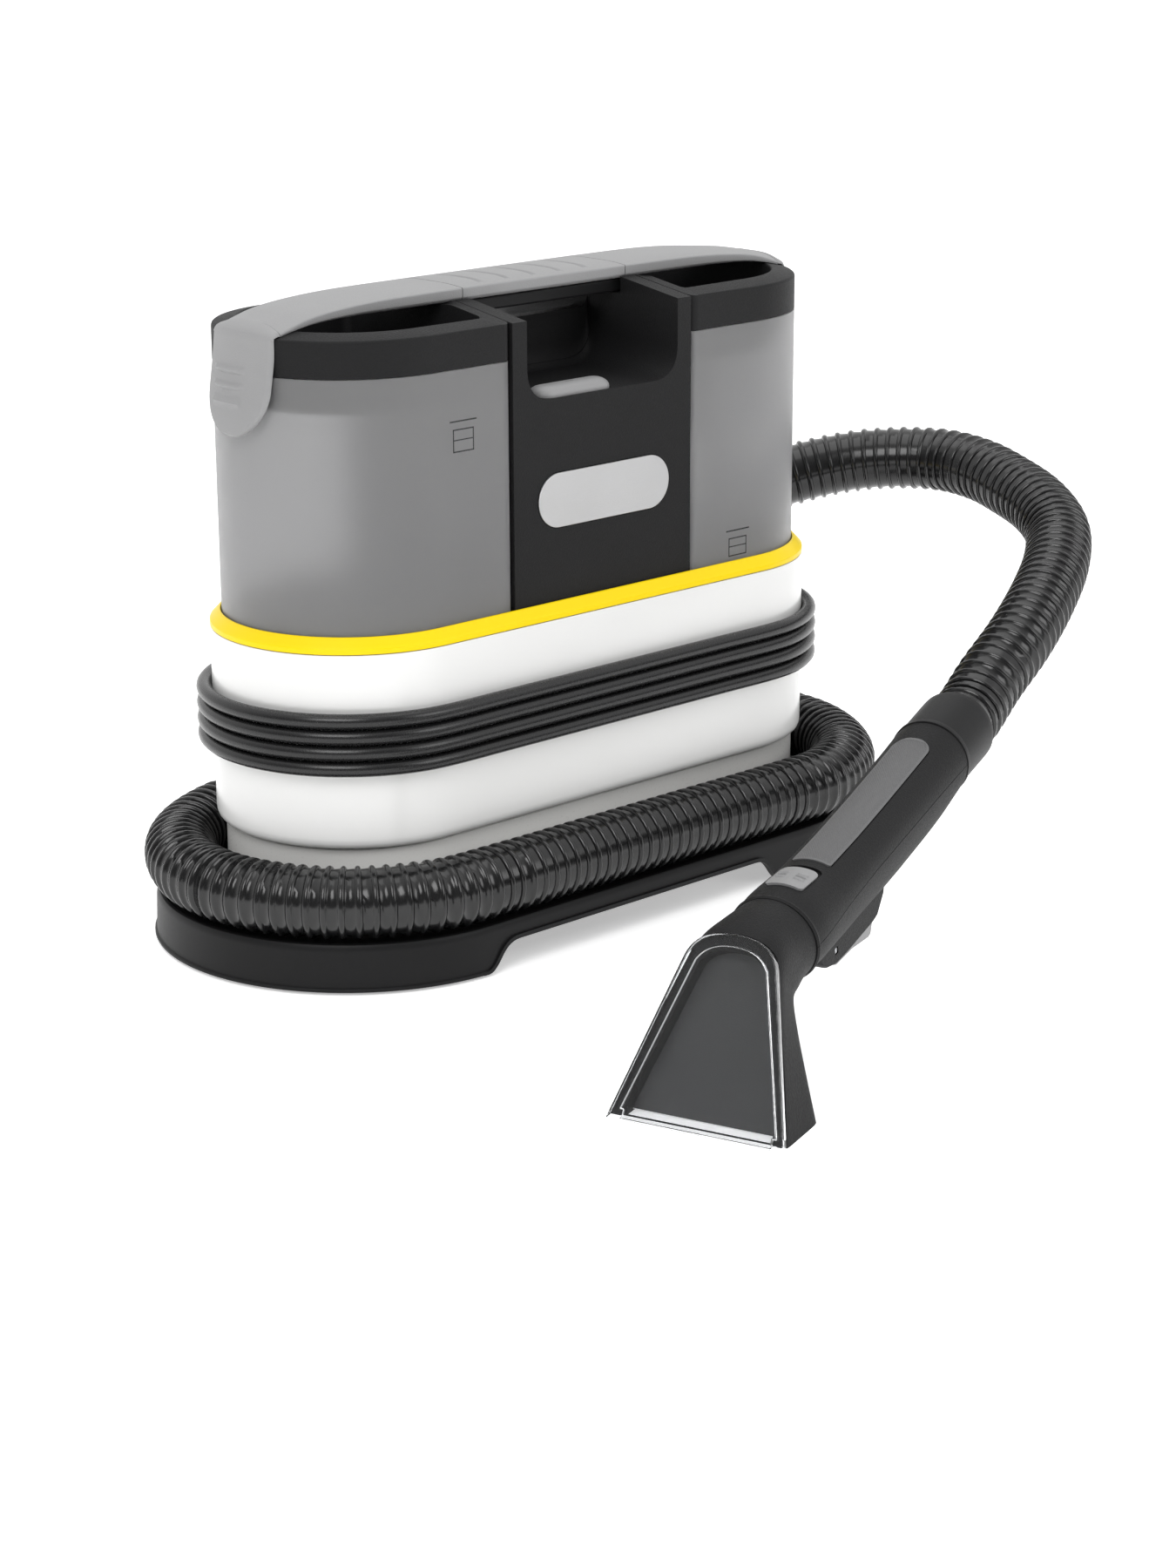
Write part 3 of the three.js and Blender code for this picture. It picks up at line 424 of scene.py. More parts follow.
def spaced(low, high, count):
    return [low + (high - low) * i / (count - 1) for i in range(count)]


# ---------------------------------------------------------------- cords

def smooth_path(points, per_span=24):
    """A centripetal curve through the points."""
    points = [Vector(p) for p in points]
    first = points[0] * 2 - points[1]
    last = points[-1] * 2 - points[-2]
    whole = [first, *points, last]
    result = []
    for i in range(1, len(whole) - 2):
        p0, p1, p2, p3 = whole[i - 1:i + 3]
        t1 = (p1 - p0).length ** 0.5
        t2 = t1 + (p2 - p1).length ** 0.5
        t3 = t2 + (p3 - p2).length ** 0.5
        for step in range(per_span):
            t = t1 + (t2 - t1) * step / per_span
            a1 = p0 * ((t1 - t) / t1) + p1 * (t / t1)
            a2 = p1 * ((t2 - t) / (t2 - t1)) + p2 * ((t - t1) / (t2 - t1))
            a3 = p2 * ((t3 - t) / (t3 - t2)) + p3 * ((t - t2) / (t3 - t2))
            b1 = a1 * ((t2 - t) / t2) + a2 * (t / t2)
            b2 = a2 * ((t3 - t) / (t3 - t1)) + a3 * ((t - t1) / (t3 - t1))
            result.append(b1 * ((t2 - t) / (t2 - t1)) + b2 * ((t - t1) / (t2 - t1)))
    return result + [points[-1]]


def even_path(points, step):
    """Points a fixed step apart along a line, and the line's length."""
    result = [points[0].copy()]
    travelled, due = 0.0, step
    for a, b in zip(points, points[1:]):
        length = (b - a).length
        while length and travelled + length >= due:
            result.append(a.lerp(b, (due - travelled) / length))
            due += step
        travelled += length
    return result, travelled


def places_along(points, distances):
    """The places on a polyline at the given distances from its start."""
    result, travelled, next_point = [], 0.0, 1
    for distance in distances:
        span = (points[next_point] - points[next_point - 1]).length
        while next_point < len(points) - 1 and travelled + span < distance:
            travelled += span
            next_point += 1
            span = (points[next_point] - points[next_point - 1]).length
        result.append(points[next_point - 1].lerp(points[next_point], min(1, (distance - travelled) / span)))
    return result


def corrugated_tube(path, radius_at, sides=30):
    """A tube round a path; radius_at(place along it) gives its radius. Ends are closed."""
    tangents = [
        (path[min(i + 1, len(path) - 1)] - path[max(i - 1, 0)]).normalized() for i in range(len(path))
    ]
    side = tangents[0].orthogonal().normalized()
    rings, place = [], 0.0
    for i, point in enumerate(path):
        if i:
            place += (point - path[i - 1]).length
            side = (side - tangents[i] * side.dot(tangents[i])).normalized()
        other = tangents[i].cross(side)
        ring = []
        for k in range(sides):
            angle = 2 * math.pi * k / sides
            ring.append(point + (side * math.cos(angle) + other * math.sin(angle)) * radius_at(place))
        rings.append(ring)
    return loft(rings)


def track_arc(centre_x, angles):
    """Places on the hose's track round one end of the machine."""
    radius = HOSE_TRACK * MM
    return [(
        centre_x + radius * math.cos(math.radians(a)), radius * math.sin(math.radians(a)), 0.0452,
    ) for a in angles]


def handle_axis(along):
    """A place on the hand tool's axis, in the row frame."""
    return HANDLE_MM @ Vector((along, 0, 0))


def add_hose():
    """The suction hose: round the tray, up behind the machine, and out to the hand tool's cuff."""
    route = [
        (0.0703, 0.0962, 0.0452),
        (0.096, 0.0962, 0.0452),
        *track_arc(0.1235, (82, 52, 20, -12, -44, -74)),
        (0.100, -0.0962, 0.0452),
        (0.040, -0.0962, 0.0452),
        (-0.040, -0.0962, 0.0452),
        (-0.100, -0.0962, 0.0452),
        *track_arc(-0.1165, (255, 225, 195, 165, 135, 105)),
        (-0.096, 0.0968, 0.046),
        (-0.060, 0.098, 0.055),
        (-0.020, 0.101, 0.071),
        (0.025, 0.1048, 0.090),
        (0.060, 0.1052, 0.104),
        (0.100, 0.1052, 0.118),
        (0.140, 0.104, 0.132),
        (0.185, 0.096, 0.149),
        (0.231, 0.076, 0.169),
        (0.271, 0.0499, 0.1833),
        (0.302, 0.021, 0.192),
        (0.325, -0.018, 0.195),
        (0.327, -0.050, 0.1935),
        (0.320, -0.082, 0.189),
        (0.308, -0.114, 0.1835),
        (0.290, -0.142, 0.176),
        (0.262, -0.165, 0.167),
        (0.228, -0.184, 0.156),
        (0.186, -0.202, 0.142),
        (0.150, -0.212, 0.1275),
    ]
    points = [MACHINE @ Vector(p) for p in route] + [handle_axis(CUFF_END + a) for a in (16, 1)]
    curve = smooth_path(points)
    length = even_path(curve, HOSE_PITCH * MM)[1]
    half, height = HOSE_BEAD
    bead = (-half, -1.45, -1.0, -0.4, 0.4, 1.0, 1.45, half)
    beads = range(1, int(length / MM / HOSE_PITCH))
    steps = [HOSE_PITCH * ring + offset for ring in beads for offset in bead]
    path = places_along(curve, [0, *(step * MM for step in steps), length])

    def surface(place):
        """The hose's radius at a place along it: one round bead in every pitch."""
        off = (place / MM + HOSE_PITCH / 2) % HOSE_PITCH - HOSE_PITCH / 2
        return (HOSE_RADIUS - height + height * math.sqrt(max(0, 1 - (off / half) ** 2))) * MM

    hose = piece("corrugated_hose", corrugated_tube(path, surface), HOSE, "machine", ["suction_hose"],
                 matrix=Matrix.Identity(4), sharp=60)
    hose.modifiers.clear()
    cuff = turned([
        (185, 14), (185, 17), (195, 17), (195, 21.2), (195.4, 21.7), (197.6, 21.7), (198, 21.3),
        (198.5, 20.9), (200, 20.9), (229, 21.1), (232, 21), (233.4, 20.5), (CUFF_END, 19.6), (CUFF_END, 14),
    ], 72)
    cuff = piece("cuff", cuff, BLACK, "machine", ["hose_cuff"], matrix=HANDLE_MM,
                 sharp=45)


def winding_arc(centre_x, start, z):
    """Half a turn of the mains cord round one end of the housing."""
    steps = 14
    return [(
        centre_x + CORD_TRACK * MM * math.cos(math.radians(start - 180 * i / steps)),
        CORD_TRACK * MM * math.sin(math.radians(start - 180 * i / steps)),
        z,
    ) for i in range(steps + 1)]


def add_mains_cord():
    """The mains cord: out of its relief, four turns round the housing, and on to its plug."""
    first, rise, half, y = 0.1113, 0.0084, SPINE * MM, CORD_TRACK * MM
    route = [
        (-0.0447, 0.0822, 0.095),
        (-0.020, 0.081, 0.0965),
        (0.020, y, 0.099),
        (0.060, y, 0.1015),
        (0.085, y, 0.1036),
        (0.103, y, 0.1082),
    ]
    for turn in range(CORD_TURNS):
        z = first + rise * turn
        route += winding_arc(half, 90, z)
        route += [(x, -y, z) for x in spaced(0.080, -0.080, 5)]
        route += winding_arc(-half, -90, z)
        if turn < CORD_TURNS - 1:
            route += [(x, y, z + rise * (x / half + 1) / 2) for x in spaced(-0.080, 0.080, 5)]
    route += [
        (-0.100, y, 0.1405),
        (-0.084, y, 0.1452),
        (-0.066, 0.0806, 0.1463),
        (-0.050, 0.081, 0.147),
        (-0.034, 0.081, 0.147),
        (-0.022, 0.0846, 0.1504),
        (-0.012, 0.0875, 0.1535),
        (-0.004, 0.0875, 0.1535),
    ]
    path, length = even_path(smooth_path([MACHINE @ Vector(p) for p in route], 8), 0.003)
    data = bpy.data.curves.new("mains_cord", "CURVE")
    data.dimensions = "3D"
    data.bevel_depth = CORD_RADIUS * MM
    data.bevel_resolution = 5
    data.use_fill_caps = True
    spline = data.splines.new("POLY")
    spline.points.add(len(path) - 1)
    for point, place in zip(spline.points, path):
        point.co = (*place, 1)
    spline.use_smooth = True
    data.materials.append(RUBBER)
    cord = bpy.data.objects.new("mains_cord", data)
    bpy.context.scene.collection.objects.link(cord)
    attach(cord, "machine")
    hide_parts("cord_lead", "cord_winding", "cord_tail")
    clip = refined("cord_clip", BLACK, bevel=0.6)
    plug = refined("mains_plug", RUBBER, bevel=0.8)


add_hose()
add_mains_cord()


# ---------------------------------------------------------------- base and housing

def arch_outline(grow):
    """The arch cut through the tray's front and rear walls, grown by a margin."""
    points = []
    for curve in (
        ((-124, 1), (-112, 1.5), (-114, 16.3), (-100, 16.3)), ((76, 16.3), (89, 16.3), (88, 1.5), (99, 1)),
    ):
        points += bezier(curve)
    grown = []
    for i, (x, z) in enumerate(points):
        before, after = points[max(i - 1, 0)], points[min(i + 1, len(points) - 1)]
        run, rise = after[0] - before[0], after[1] - before[1]
        length = math.hypot(run, rise)
        grown.append((x - grow * rise / length, z + grow * run / length))
    return [(grown[0][0] - 2, -2), *grown, (grown[-1][0] + 2, -2)]


def base_tray():
    outer = around_spine([
        (1, 1.5), (110.6, 1.5), (111, 1.9), (111, 3), (110.7, 3.4), (109.9, 3.8), (109.3, 22.6), (108.9, 25),
        (107.9, 26.3), (106.6, 26.6), (105.6, 26.4), (104.6, 25.7), (103.3, 25.4), (1, 25.4),
    ], 60)
    core = prism([(-SPINE, -5), (SPINE, -5), (SPINE, 5), (-SPINE, 5)], 1.5, 25.4)
    hollow = stadium_block(106.6, -1, 22, 60)
    lip = combine(stadium_block(110.9, 1.5, 20, 60), "INTERSECT", prism(arch_outline(2.2), -300, 300, "xz"))
    body = combine(combine(outer, "UNION", core), "UNION", lip)
    return cut(body, hollow, prism(arch_outline(0), -300, 300, "xz"))


def add_housing():
    piece("tray_shell", base_tray(), BLACK, "machine", ["base_tray"], 0.7)
    plinth = around_spine([
        (67.6, 25.8), (PLINTH_RADIUS, 25.8), (PLINTH_RADIUS, 64.8), (70.1, 65.2), (67.6, 65.2),
    ])
    piece("plinth_band", plinth, PLINTH, "machine", ["plinth_skirt"])
    shell = around_spine([
        (71, 66.2), (72.4, 66.35), (73.7, 67), (74.7, 68.1), (75.3, 69.7), (HOUSING_RADIUS, 71.8),
        (HOUSING_RADIUS, 169.4), (75.2, 169.8), (72.5, 169.8), (72.5, 72.4), (71, 69.4),
    ], 60)
    vent = block(24, 76, 60, 90, 75, 87)
    piece("housing_shell", cut(shell, vent), WHITE, "machine", ["main_housing"])
    rim = around_spine([
        (69.8, 170.2), (75.1, 170.2), (75.4, 170.35), (HOUSING_RADIUS, 170.6), (HOUSING_RADIUS, 172.8),
        (75.35, 173.3), (71, 177.85), (70.5, 178.15), (69.8, 178.2),
    ], 60)
    piece("yellow_rim", rim, YELLOW, "machine", ["trim_rim"])
    refined("exhaust_grille", WHITE, bevel=0.5)
    refined("hose_connector", BLACK, bevel=1.2)
    refined("strain_relief", RUBBER, bevel=0.9)


# ---------------------------------------------------------------- column, handle and button

def scoop_outline(floor, corner):
    """The section of the hand recess: upright sides and a floor with round corners."""
    arc = []
    for step in range(15):
        t = step / 14
        arc.append((SCOOP_HALF - corner * t * t, floor + corner * (1 - t)**2))
    return [(-SCOOP_HALF, 420), *((-x, z) for x, z in arc), *reversed(arc), (SCOOP_HALF, 420)]


def front_scoop():
    """The cutter for the front recess; its floor sweeps up into the web at the back."""
    rings = []
    for y in (-400, -5, -3.8, -2.6, -1.5, -0.5, 0.4, 1.1, 1.6, 1.9, 2):
        t = max(0, (y + 5) / 7)
        rise = 12 * (1 - math.sqrt(1 - t * t))
        rings.append([(x, y, z) for x, z in scoop_outline(286 + rise, 18)])
    return loft(rings)


def column_block():
    half = [(COLUMN_HALF, 170.4), (COLUMN_HALF, LID_EDGE), (CROWN_HALF, CROWN_TOP)]
    side = [(-COLUMN_HALF, 170.4), *half, (-CROWN_HALF, CROWN_TOP), (-COLUMN_HALF, LID_EDGE)]
    body = prism(side, -64, 64, "yz")
    return cut(
        body,
        block(-61, 61, -66, 66, 160, 282),
        block(-61, 61, 5, 66.1, 159, 304),
        front_scoop(),
        prism(scoop_outline(308, 12), 10, 400, "xz"),
        prism(scoop_outline(316, 8), -400, 401, "xz"),
        block(-400, 400, -CROWN_HALF, CROWN_HALF, 326, 402),
    )


def crown_ring(x, crown, upper, lower, under, groove=None):
    """A section of the handle or a grip: bevelled foot, upright side band and a low crown."""
    half = []
    for y, z in ((21.6, under), (22.8, (under + lower) / 2 - 0.3), (23.7, lower - 0.2), (24, lower + 0.5),
                 (24, upper - 0.9), (23.75, upper - 0.25)):
        half.append((y, z))
    for y in (23.1, 22, 20.5, 19, 17, 15, 13, 11, 9, 7, 5, 3, 1):
        fall = max(0, (y - 6) / 17.4) ** 2
        half.append((y, crown - (crown - upper) * fall))
    ring = []
    for sign, points in ((-1, half), (1, half[::-1])):
        for y, z in points:
            ring.append((x, sign * y, z - (groove(x, sign * y) if groove and z > upper else 0)))
    return ring


def handle_groove(x, y):
    """Five shallow curved grooves across the carry handle."""
    depth = 0
    for groove in range(5):
        centre = 18.7 * (groove - 2) - 0.01 * y * y
        reach = abs(x - centre) / 1.6
        if reach < 1:
            depth = max(depth, 1.2 * math.cos(reach * math.pi / 2))
    return depth * min(1, max(0, (19 - abs(y)) / 5))


def button_form():
    """The power button: a long pebble with a soft shoulder and one small inset mark."""
    rings = []
    for z, inset in (
        (280, 0), (286.6, 0), (287.8, 0.25), (288.9, 0.9), (289.9, 2), (290.7, 3.4), (291.2, 4.9), (291.5, 6.6),
    ):
        outline = rounded(*BUTTON_PLACE, BUTTON_HALF[0] - inset, BUTTON_HALF[1] - inset, 8.45 - inset, 16)
        rings.append([(x, y, z) for x, y in outline])
    return cut(loft(rings), prism(rounded(*BUTTON_PLACE, 3.2, 0.7, 0.65, 6), 291.1, 292))


def add_column():
    whole = column_block()
    far = whole.copy()
    front = cut(
        whole,
        block(-400, 400, -0.15, 400, 0, 500),
        prism(rounded(*BUTTON_PLACE, BUTTON_HALF[0] + 0.4, BUTTON_HALF[1] + 0.4, 8.8), 274, 302),
        prism(rounded(0, BADGE_HEIGHT, 47.5, 14.9, 14.85, 16), -80, -68.2, "xz"),
    )
    rear = cut(far, block(-400, 400, -400, 0.15, 0, 500))
    piece("column_front_shell", front, GRAINED, "machine", ["column_front"], 0.9)
    piece("column_rear_shell", rear, GRAINED, "machine", ["column_rear"], 0.9)
    refined("handle_core", BLACK, bevel=1.5)
    bar = loft([crown_ring(x, *HANDLE_CROWN, handle_groove) for x in spaced(-57.9, 57.9, 232)])
    piece("handle_cap", bar, GREY, "machine", ["carry_handle"], sharp=50)
    badge = prism(rounded(0, BADGE_HEIGHT, 47.2, 14.6, 14.55, 18), -69.7, -68.5, "xz")
    piece("badge", badge, BADGE, "machine", ["badge_plate"], 0.45)
    piece("button_cap", button_form(), BUTTON_GREY, "button", ["power_button"], 0,
          sharp=50)


# ---------------------------------------------------------------- tanks, lids and grips

def half_outline(radius, face, corner, steps=44):
    """The plan of one tank: a flat inner face with small round corners and a round outer end."""
    points = []
    for step in range(steps + 1):
        angle = (step / steps - 0.5) * math.pi
        points.append((SPINE + radius * math.cos(angle), radius * math.sin(angle)))
    for step in range(9):
        angle = math.pi / 2 + math.pi / 2 * step / 8
        points.append((face + corner + corner * math.cos(angle), radius - corner + corner * math.sin(angle)))
    for step in range(1, 10):
        points.append((face, (radius - corner) * (1 - step / 5)))
    for step in range(9):
        angle = math.pi + math.pi / 2 * step / 8
        points.append((face + corner + corner * math.cos(angle), corner - radius + corner * math.sin(angle)))
    return points


def crown(x, y, z):
    """Raises a lid's top towards the handle beside the column, as the cheeks do."""
    near = min(1, max(0, (TANK_FACE + 14 - x) / 7))
    slope = CROWN_TOP - max(0, abs(y) - CROWN_HALF) * (CROWN_TOP - LID_EDGE) / (COLUMN_HALF - CROWN_HALF)
    if abs(y) < CROWN_HALF - 0.05:
        slope = CROWN_REST
    return z + (slope - z) * near


def stacked(profile, side):
    """A closed solid from (radius, inner face, height, corner, crowned) rows; side -1 mirrors it."""
    rings = []
    for radius, face, z, corner, crowned in profile:
        ring = []
        for x, y in half_outline(radius, face, corner):
            height = crown(x, y, z) if crowned else z
            ring.append((side * x, y, height))
        rings.append(ring)
    return loft(rings)


def tank_shell(side):
    radius, face = TANK_RADIUS, TANK_FACE
    rows = [
        (66.6, 67, 170.4, 4, 0), (68.1, 65.5, 170.9, 4.5, 0), (radius, face, 172.4, 5, 0),
        (radius, face, 309, 5, 0), (66.6, 67.1, 309, 3, 0), (66.6, 67.1, 175, 3, 0),
        (65.4, 68.3, 173.4, 2, 0),
    ]
    return stacked(rows, side)


def lid_shell(side):
    radius, face = TANK_RADIUS, TANK_FACE
    rows = [
        (55.4, 71, 289.3, 6, 0), (56.2, 70.4, 309.2, 6, 0), (68.7, 65, 309.3, 4, 0),
        (radius, face, 309.7, 5, 0), (radius, face, 326.9, 5, 1), (68.8, 64.9, 327.9, 5, 1),
        (68, 65.6, 328.5, 4.6, 1), (62, 68.6, 329.8, 4.5, 1), (57.2, 70.6, 330.8, 4.5, 1),
        (56.2, 71.2, 330.7, 4.5, 1), (55.5, 71.7, 329.8, 4.5, 1), (53.3, 72.6, 293.5, 5, 0),
        (52, 74, 292, 5, 0),
    ]
    return stacked(rows, side)


# Place along X, then crown, the side band's upper and lower edges, and the underside
HANDLE_CROWN = (341.9, 340.9, 335.8, 334)
GRIP_TABLE = (
    (58.5, *HANDLE_CROWN), (105, 341.3, 340.6, 335.7, 334), (128, 340.3, 339.7, 335.4, 334),
    (148.6, 339, 337.9, 334.2, 333.4), (162, 337.8, 335.6, 332.6, 332.4), (171, 336.3, 333, 330.9, 331.5),
    (177.7, 335, 330.9, 329.3, 330.4),
)


def grip(side):
    rings = [crown_ring(x, *interpolate(GRIP_TABLE, x)) for x in spaced(58.5, 177.7, 70)]
    return loft([[(side * x, y, z) for x, y, z in ring] for ring in rings])


FLAP_FOOT = 278
# Height, then the radius of the outer and the inner face from the middle of the tank's round end
FLAP_FACE = (
    (278, 77.5, 75.1), (288, 76.8, 74.4), (302, 74.5, 72.2), (318, 72.1, 69.8), (327.4, 71.1, 69.6),
)
# Share of the way from the seam to the outer edge, then the top and the underside
FLAP_CAP = (
    (0, 335.1, 330.6), (0.35, 334.3, 330.1), (0.65, 332.9, 329.4), (0.85, 331.5, 328.9), (0.96, 330.2, 328.6),
)


def flap_ribs(y, z):
    """Relief of the three ribs on the flap."""
    lift = 0
    along = y - 4
    for centre in (311, 303, 294.7):
        reach = abs(z - centre - 0.003 * along * along) / 1.7
        if reach < 1 and abs(along) < 13:
            lift = max(lift, math.cos(reach * math.pi / 2) * min(1, (13 - abs(along)) / 2.5))
    return 1.5 * lift


def latch_flap(side):
    """The flap: it carries the grip over the tank's end and down it, to a half-round foot."""
    columns = spaced(-1, 1, 61)
    heights = [FLAP_FOOT + GRIP_HALF * (1 - math.cos(math.radians(a))) for a in range(3, 90, 5)]
    heights += spaced(FLAP_FOOT + GRIP_HALF, 327.4, 56)
    rings = []
    for z in heights:
        outside, inside = interpolate(FLAP_FACE, z)
        reach = math.sqrt(GRIP_HALF**2 - max(0, FLAP_FOOT + GRIP_HALF - z)**2)
        outer, inner = [], []
        for u in columns:
            y = u * reach
            rim = max(0, max(abs(y) - (reach - 2.4), FLAP_FOOT + 2.4 - z)) / 2.4
            radius = outside - 1.5 * (1 - math.sqrt(max(0, 1 - rim * rim))) + flap_ribs(y, z)
            outer.append((side * (SPINE + math.sqrt(radius**2 - y * y)), y, z))
            inner.append((side * (SPINE + math.sqrt(inside**2 - y * y)), y, z))
        rings.append(outer + inner[::-1])
    for share, top, under in reversed(FLAP_CAP):
        outer, inner = [], []
        for u in columns:
            y = u * GRIP_HALF
            fall = max(0, (abs(y) - 6) / 17.4) ** 2
            rim = max(0, abs(y) - (GRIP_HALF - 1.2)) / 1.2
            edge = SPINE + math.sqrt(70.9**2 - y * y)
            lid_edge = SPINE + math.sqrt(69.6**2 - y * y)
            low = 0.8 * (1 - math.sqrt(max(0, 1 - rim * rim)))
            outer.append((side * (FLAP_SEAM + share * (edge - FLAP_SEAM)), y,
                          top - (4.1 - 2.4 * share) * fall - low))
            inner.append((side * (FLAP_SEAM + share * (lid_edge - FLAP_SEAM)), y,
                          under - 1.1 * fall * (1 - share)))
        rings.append(outer + inner[::-1])
    return loft(rings)


def level_mark(x, low, high, y=-69.15):
    """A plain printed level mark: a line above a small open box."""
    width = 7
    strokes = [
        (x - 9, x + 9, high + 3.6, high + 4.4), (x - width, x + width, low, low + 0.7),
        (x - width, x - width + 0.7, low, high), (x + width - 0.7, x + width, low, high),
        (x - width, x + width, high - 0.7, high),
        (x - width, x + width, (low + high) / 2, (low + high) / 2 + 0.6),
    ]
    bm = bmesh.new()
    for x0, x1, z0, z1 in strokes:
        corners = [(x0, y, z0), (x1, y, z0), (x1, y, z1), (x0, y, z1)]
        front = [bm.verts.new(c) for c in corners]
        back = [bm.verts.new((a, b + 0.12, c)) for a, b, c in corners]
        bm.faces.new(front)
        bm.faces.new(back[::-1])
        for i in range(4):
            bm.faces.new([front[i], back[i], back[(i + 1) % 4], front[(i + 1) % 4]])
    return bm


def add_tanks():
    for side, prefix in ((-1, "fresh"), (1, "dirty")):
        tank, lid = prefix + "_tank_unit", prefix + "_lid_unit"
        shell = tank_shell(side)
        piece(prefix + "_tank_shell", shell, SMOKE, tank, [prefix + "_tank"])
        piece(prefix + "_lid_shell", lid_shell(side), GRAINED, lid, [prefix + "_lid"],
              sharp=50)
        piece(prefix + "_grip_bar", grip(side), GREY, lid, [prefix + "_grip"], sharp=50)
        piece(prefix + "_flap", latch_flap(side), GREY, prefix + "_flap", [prefix + "_latch"],
              sharp=50)
    piece("fresh_level_mark", level_mark(-98, 267, 279), PRINT, "fresh_tank_unit")
    piece("dirty_level_mark", level_mark(101, 180.5, 191), PRINT, "dirty_tank_unit")
    pipe = turned([(170.6, 15), (232, 15), (232.4, 14.6), (232.4, 12.8), (232, 12.5), (170.6, 12.5)], 48)
    turn = Matrix.Translation((150, 0, 0)) @ Matrix.Rotation(-math.pi / 2, 4, "Y")
    piece("standpipe", pipe, INNER, "dirty_tank_unit", matrix=MACHINE_MM @ turn)
    refined("separator_box", INNER, "dirty_lid_unit", 1.2)
    refined("float_cage", GREY, "dirty_lid_unit", 0.5)


# ---------------------------------------------------------------- hand tool

HANDLE_TABLE = (
    (0, 22.8, 22.3, 22.5), (14, 23, 22.2, 24), (40, 21.5, 19.2, 27), (75, 20.5, 18, 29), (103, 20.5, 18, 30),
    (126, 20.5, 18.4, 30), (168, 20.8, 19.5, 28), (194.7, 21.3, 21, 22),
)


def handle_surface(along, angle, offset):
    """A point on the handle's outside, grown by an offset."""
    half, up, down = interpolate(HANDLE_TABLE, along)
    lip = 0.7 * max(0, 1 - abs(along - 1.4) / 1.6) if along < 3 else 0
    height = (up if math.sin(angle) > 0 else down) + offset + lip
    return (along, (half + offset + lip) * math.cos(angle), height * math.sin(angle))


def handle_half(low, high):
    """Half of the handle's shell, between two angles in degrees."""
    angles = [math.radians(a) for a in spaced(low, high, 37)]
    rings = []
    for along in [0, 0.6, 1.4, 2.2, 2.9, 3.6, *spaced(5, 194.7, 70)]:
        outer = [handle_surface(along, a, 0) for a in angles]
        inner = [handle_surface(along, a, -2.6) for a in reversed(angles)]
        rings.append(outer + inner)
    return loft(rings)


def trigger_guard():
    """The guard round the trigger, which hangs from the handle's lower half."""
    side = [
        (22, -15), (22, -20), (26, -27), (32, -32), (42, -35.5), (55, -36.5), (88, -37), (94, -36), (98, -32),
        (103, -27), (105, -20), (105, -15),
    ]
    rings = []
    for y, share in ((12, 0), (11.7, 0.4), (11, 0.75), (10, 0.95), (9, 1), (-9, 1), (-10, 0.95), (-11, 0.75),
                     (-11.7, 0.4), (-12, 0)):
        along, down = 0.965 + 0.035 * share, 0.86 + 0.14 * share
        rings.append([(63 + (x - 63) * along, y, -26 + (z + 26) * down) for x, z in side])
    core = loft([
        [handle_surface(along, math.radians(a), -2.6) for a in range(0, 360, 10)]
        for along in spaced(5, 130, 26)
    ])
    return cut(loft(rings), core)


def patch(outline_half, low, high, outside, inside, columns=33, rows=90, relief=None):
    """A plate that lies on top of the handle; outline_half gives its half width at each place."""
    rings = []
    for along in [low + (high - low) * 0.5 * (1 - math.cos(math.pi * i / (rows - 1))) for i in range(rows)]:
        half_width = outline_half(along)
        form_half, up, _ = interpolate(HANDLE_TABLE, along)
        upper, lower = [], []
        for u in spaced(-1, 1, columns):
            y = u * half_width
            share = math.sqrt(1 - (y / form_half)**2)
            extra = relief(along, y, half_width) if relief else 0
            upper.append((along, y * (1 + (outside + extra) / form_half), (up + outside + extra) * share))
            lower.append((along, y * (1 + inside / form_half), (up + inside) * share))
        rings.append(upper + lower[::-1])
    return loft(rings)


def round_ended(half, low, high, low_radius, high_radius):
    """The half width along a strip whose ends have round corners."""
    def width(along):
        result = half
        for distance, radius in ((along - low, low_radius), (high - along, high_radius)):
            if distance < radius:
                result = min(result, half - radius + math.sqrt(max(0, radius**2 - (radius - distance)**2)))
        return max(result, 0.05)
    return width


def knurl(along, y, half_width):
    """Fine crossed ribs inside a smooth border."""
    edge = min(half_width - abs(y), along - (INLAY_SPAN[0] + 1), INLAY_SPAN[1] - 1 - along)
    if edge < 1.1:
        return 0.25
    pitch = 2.0
    a = math.sin(math.pi * (along + 1.6 * y) / pitch)
    b = math.sin(math.pi * (along - 1.6 * y) / pitch)
    return 0.5 * abs(a * b) - 0.15


def latch_relief(along, y, half_width):
    """Small raised marks in two groups of three on the release catch."""
    lift = 0
    for centre in (-4.6, 4.6):
        for row in (-2.6, 0, 2.6):
            distance = math.hypot((along - 24.5 - row) / 0.75, max(0, abs(y - centre) - 1.9) / 0.75)
            lift = max(lift, 0.85 * min(1, 2 * max(0, 1 - distance)))
    return lift


NOZZLE_TABLE = (
    (0, 0.5, 0, 44, 0, 45, 9), (1, 14, 27, 48.5, 20, 37.2, 8), (2, 28, 54, 55.5, 38, 29.2, 6),
    (2.7, 37.5, 72, 63, 47, 24.6, 4), (3.1, 44, 82, 75, 47, 23, 3.2), (3.7, 60, 87.5, 84, 44.8, 22, 2.3),
    (4.4, 81.7, 89, 90.3, 45.3, 22.3, 2),
)
COVER_SLOPE = math.atan2(79.7, 41.5)
COVER_LENGTH = 94.3
COVER_SHOULDER = 80


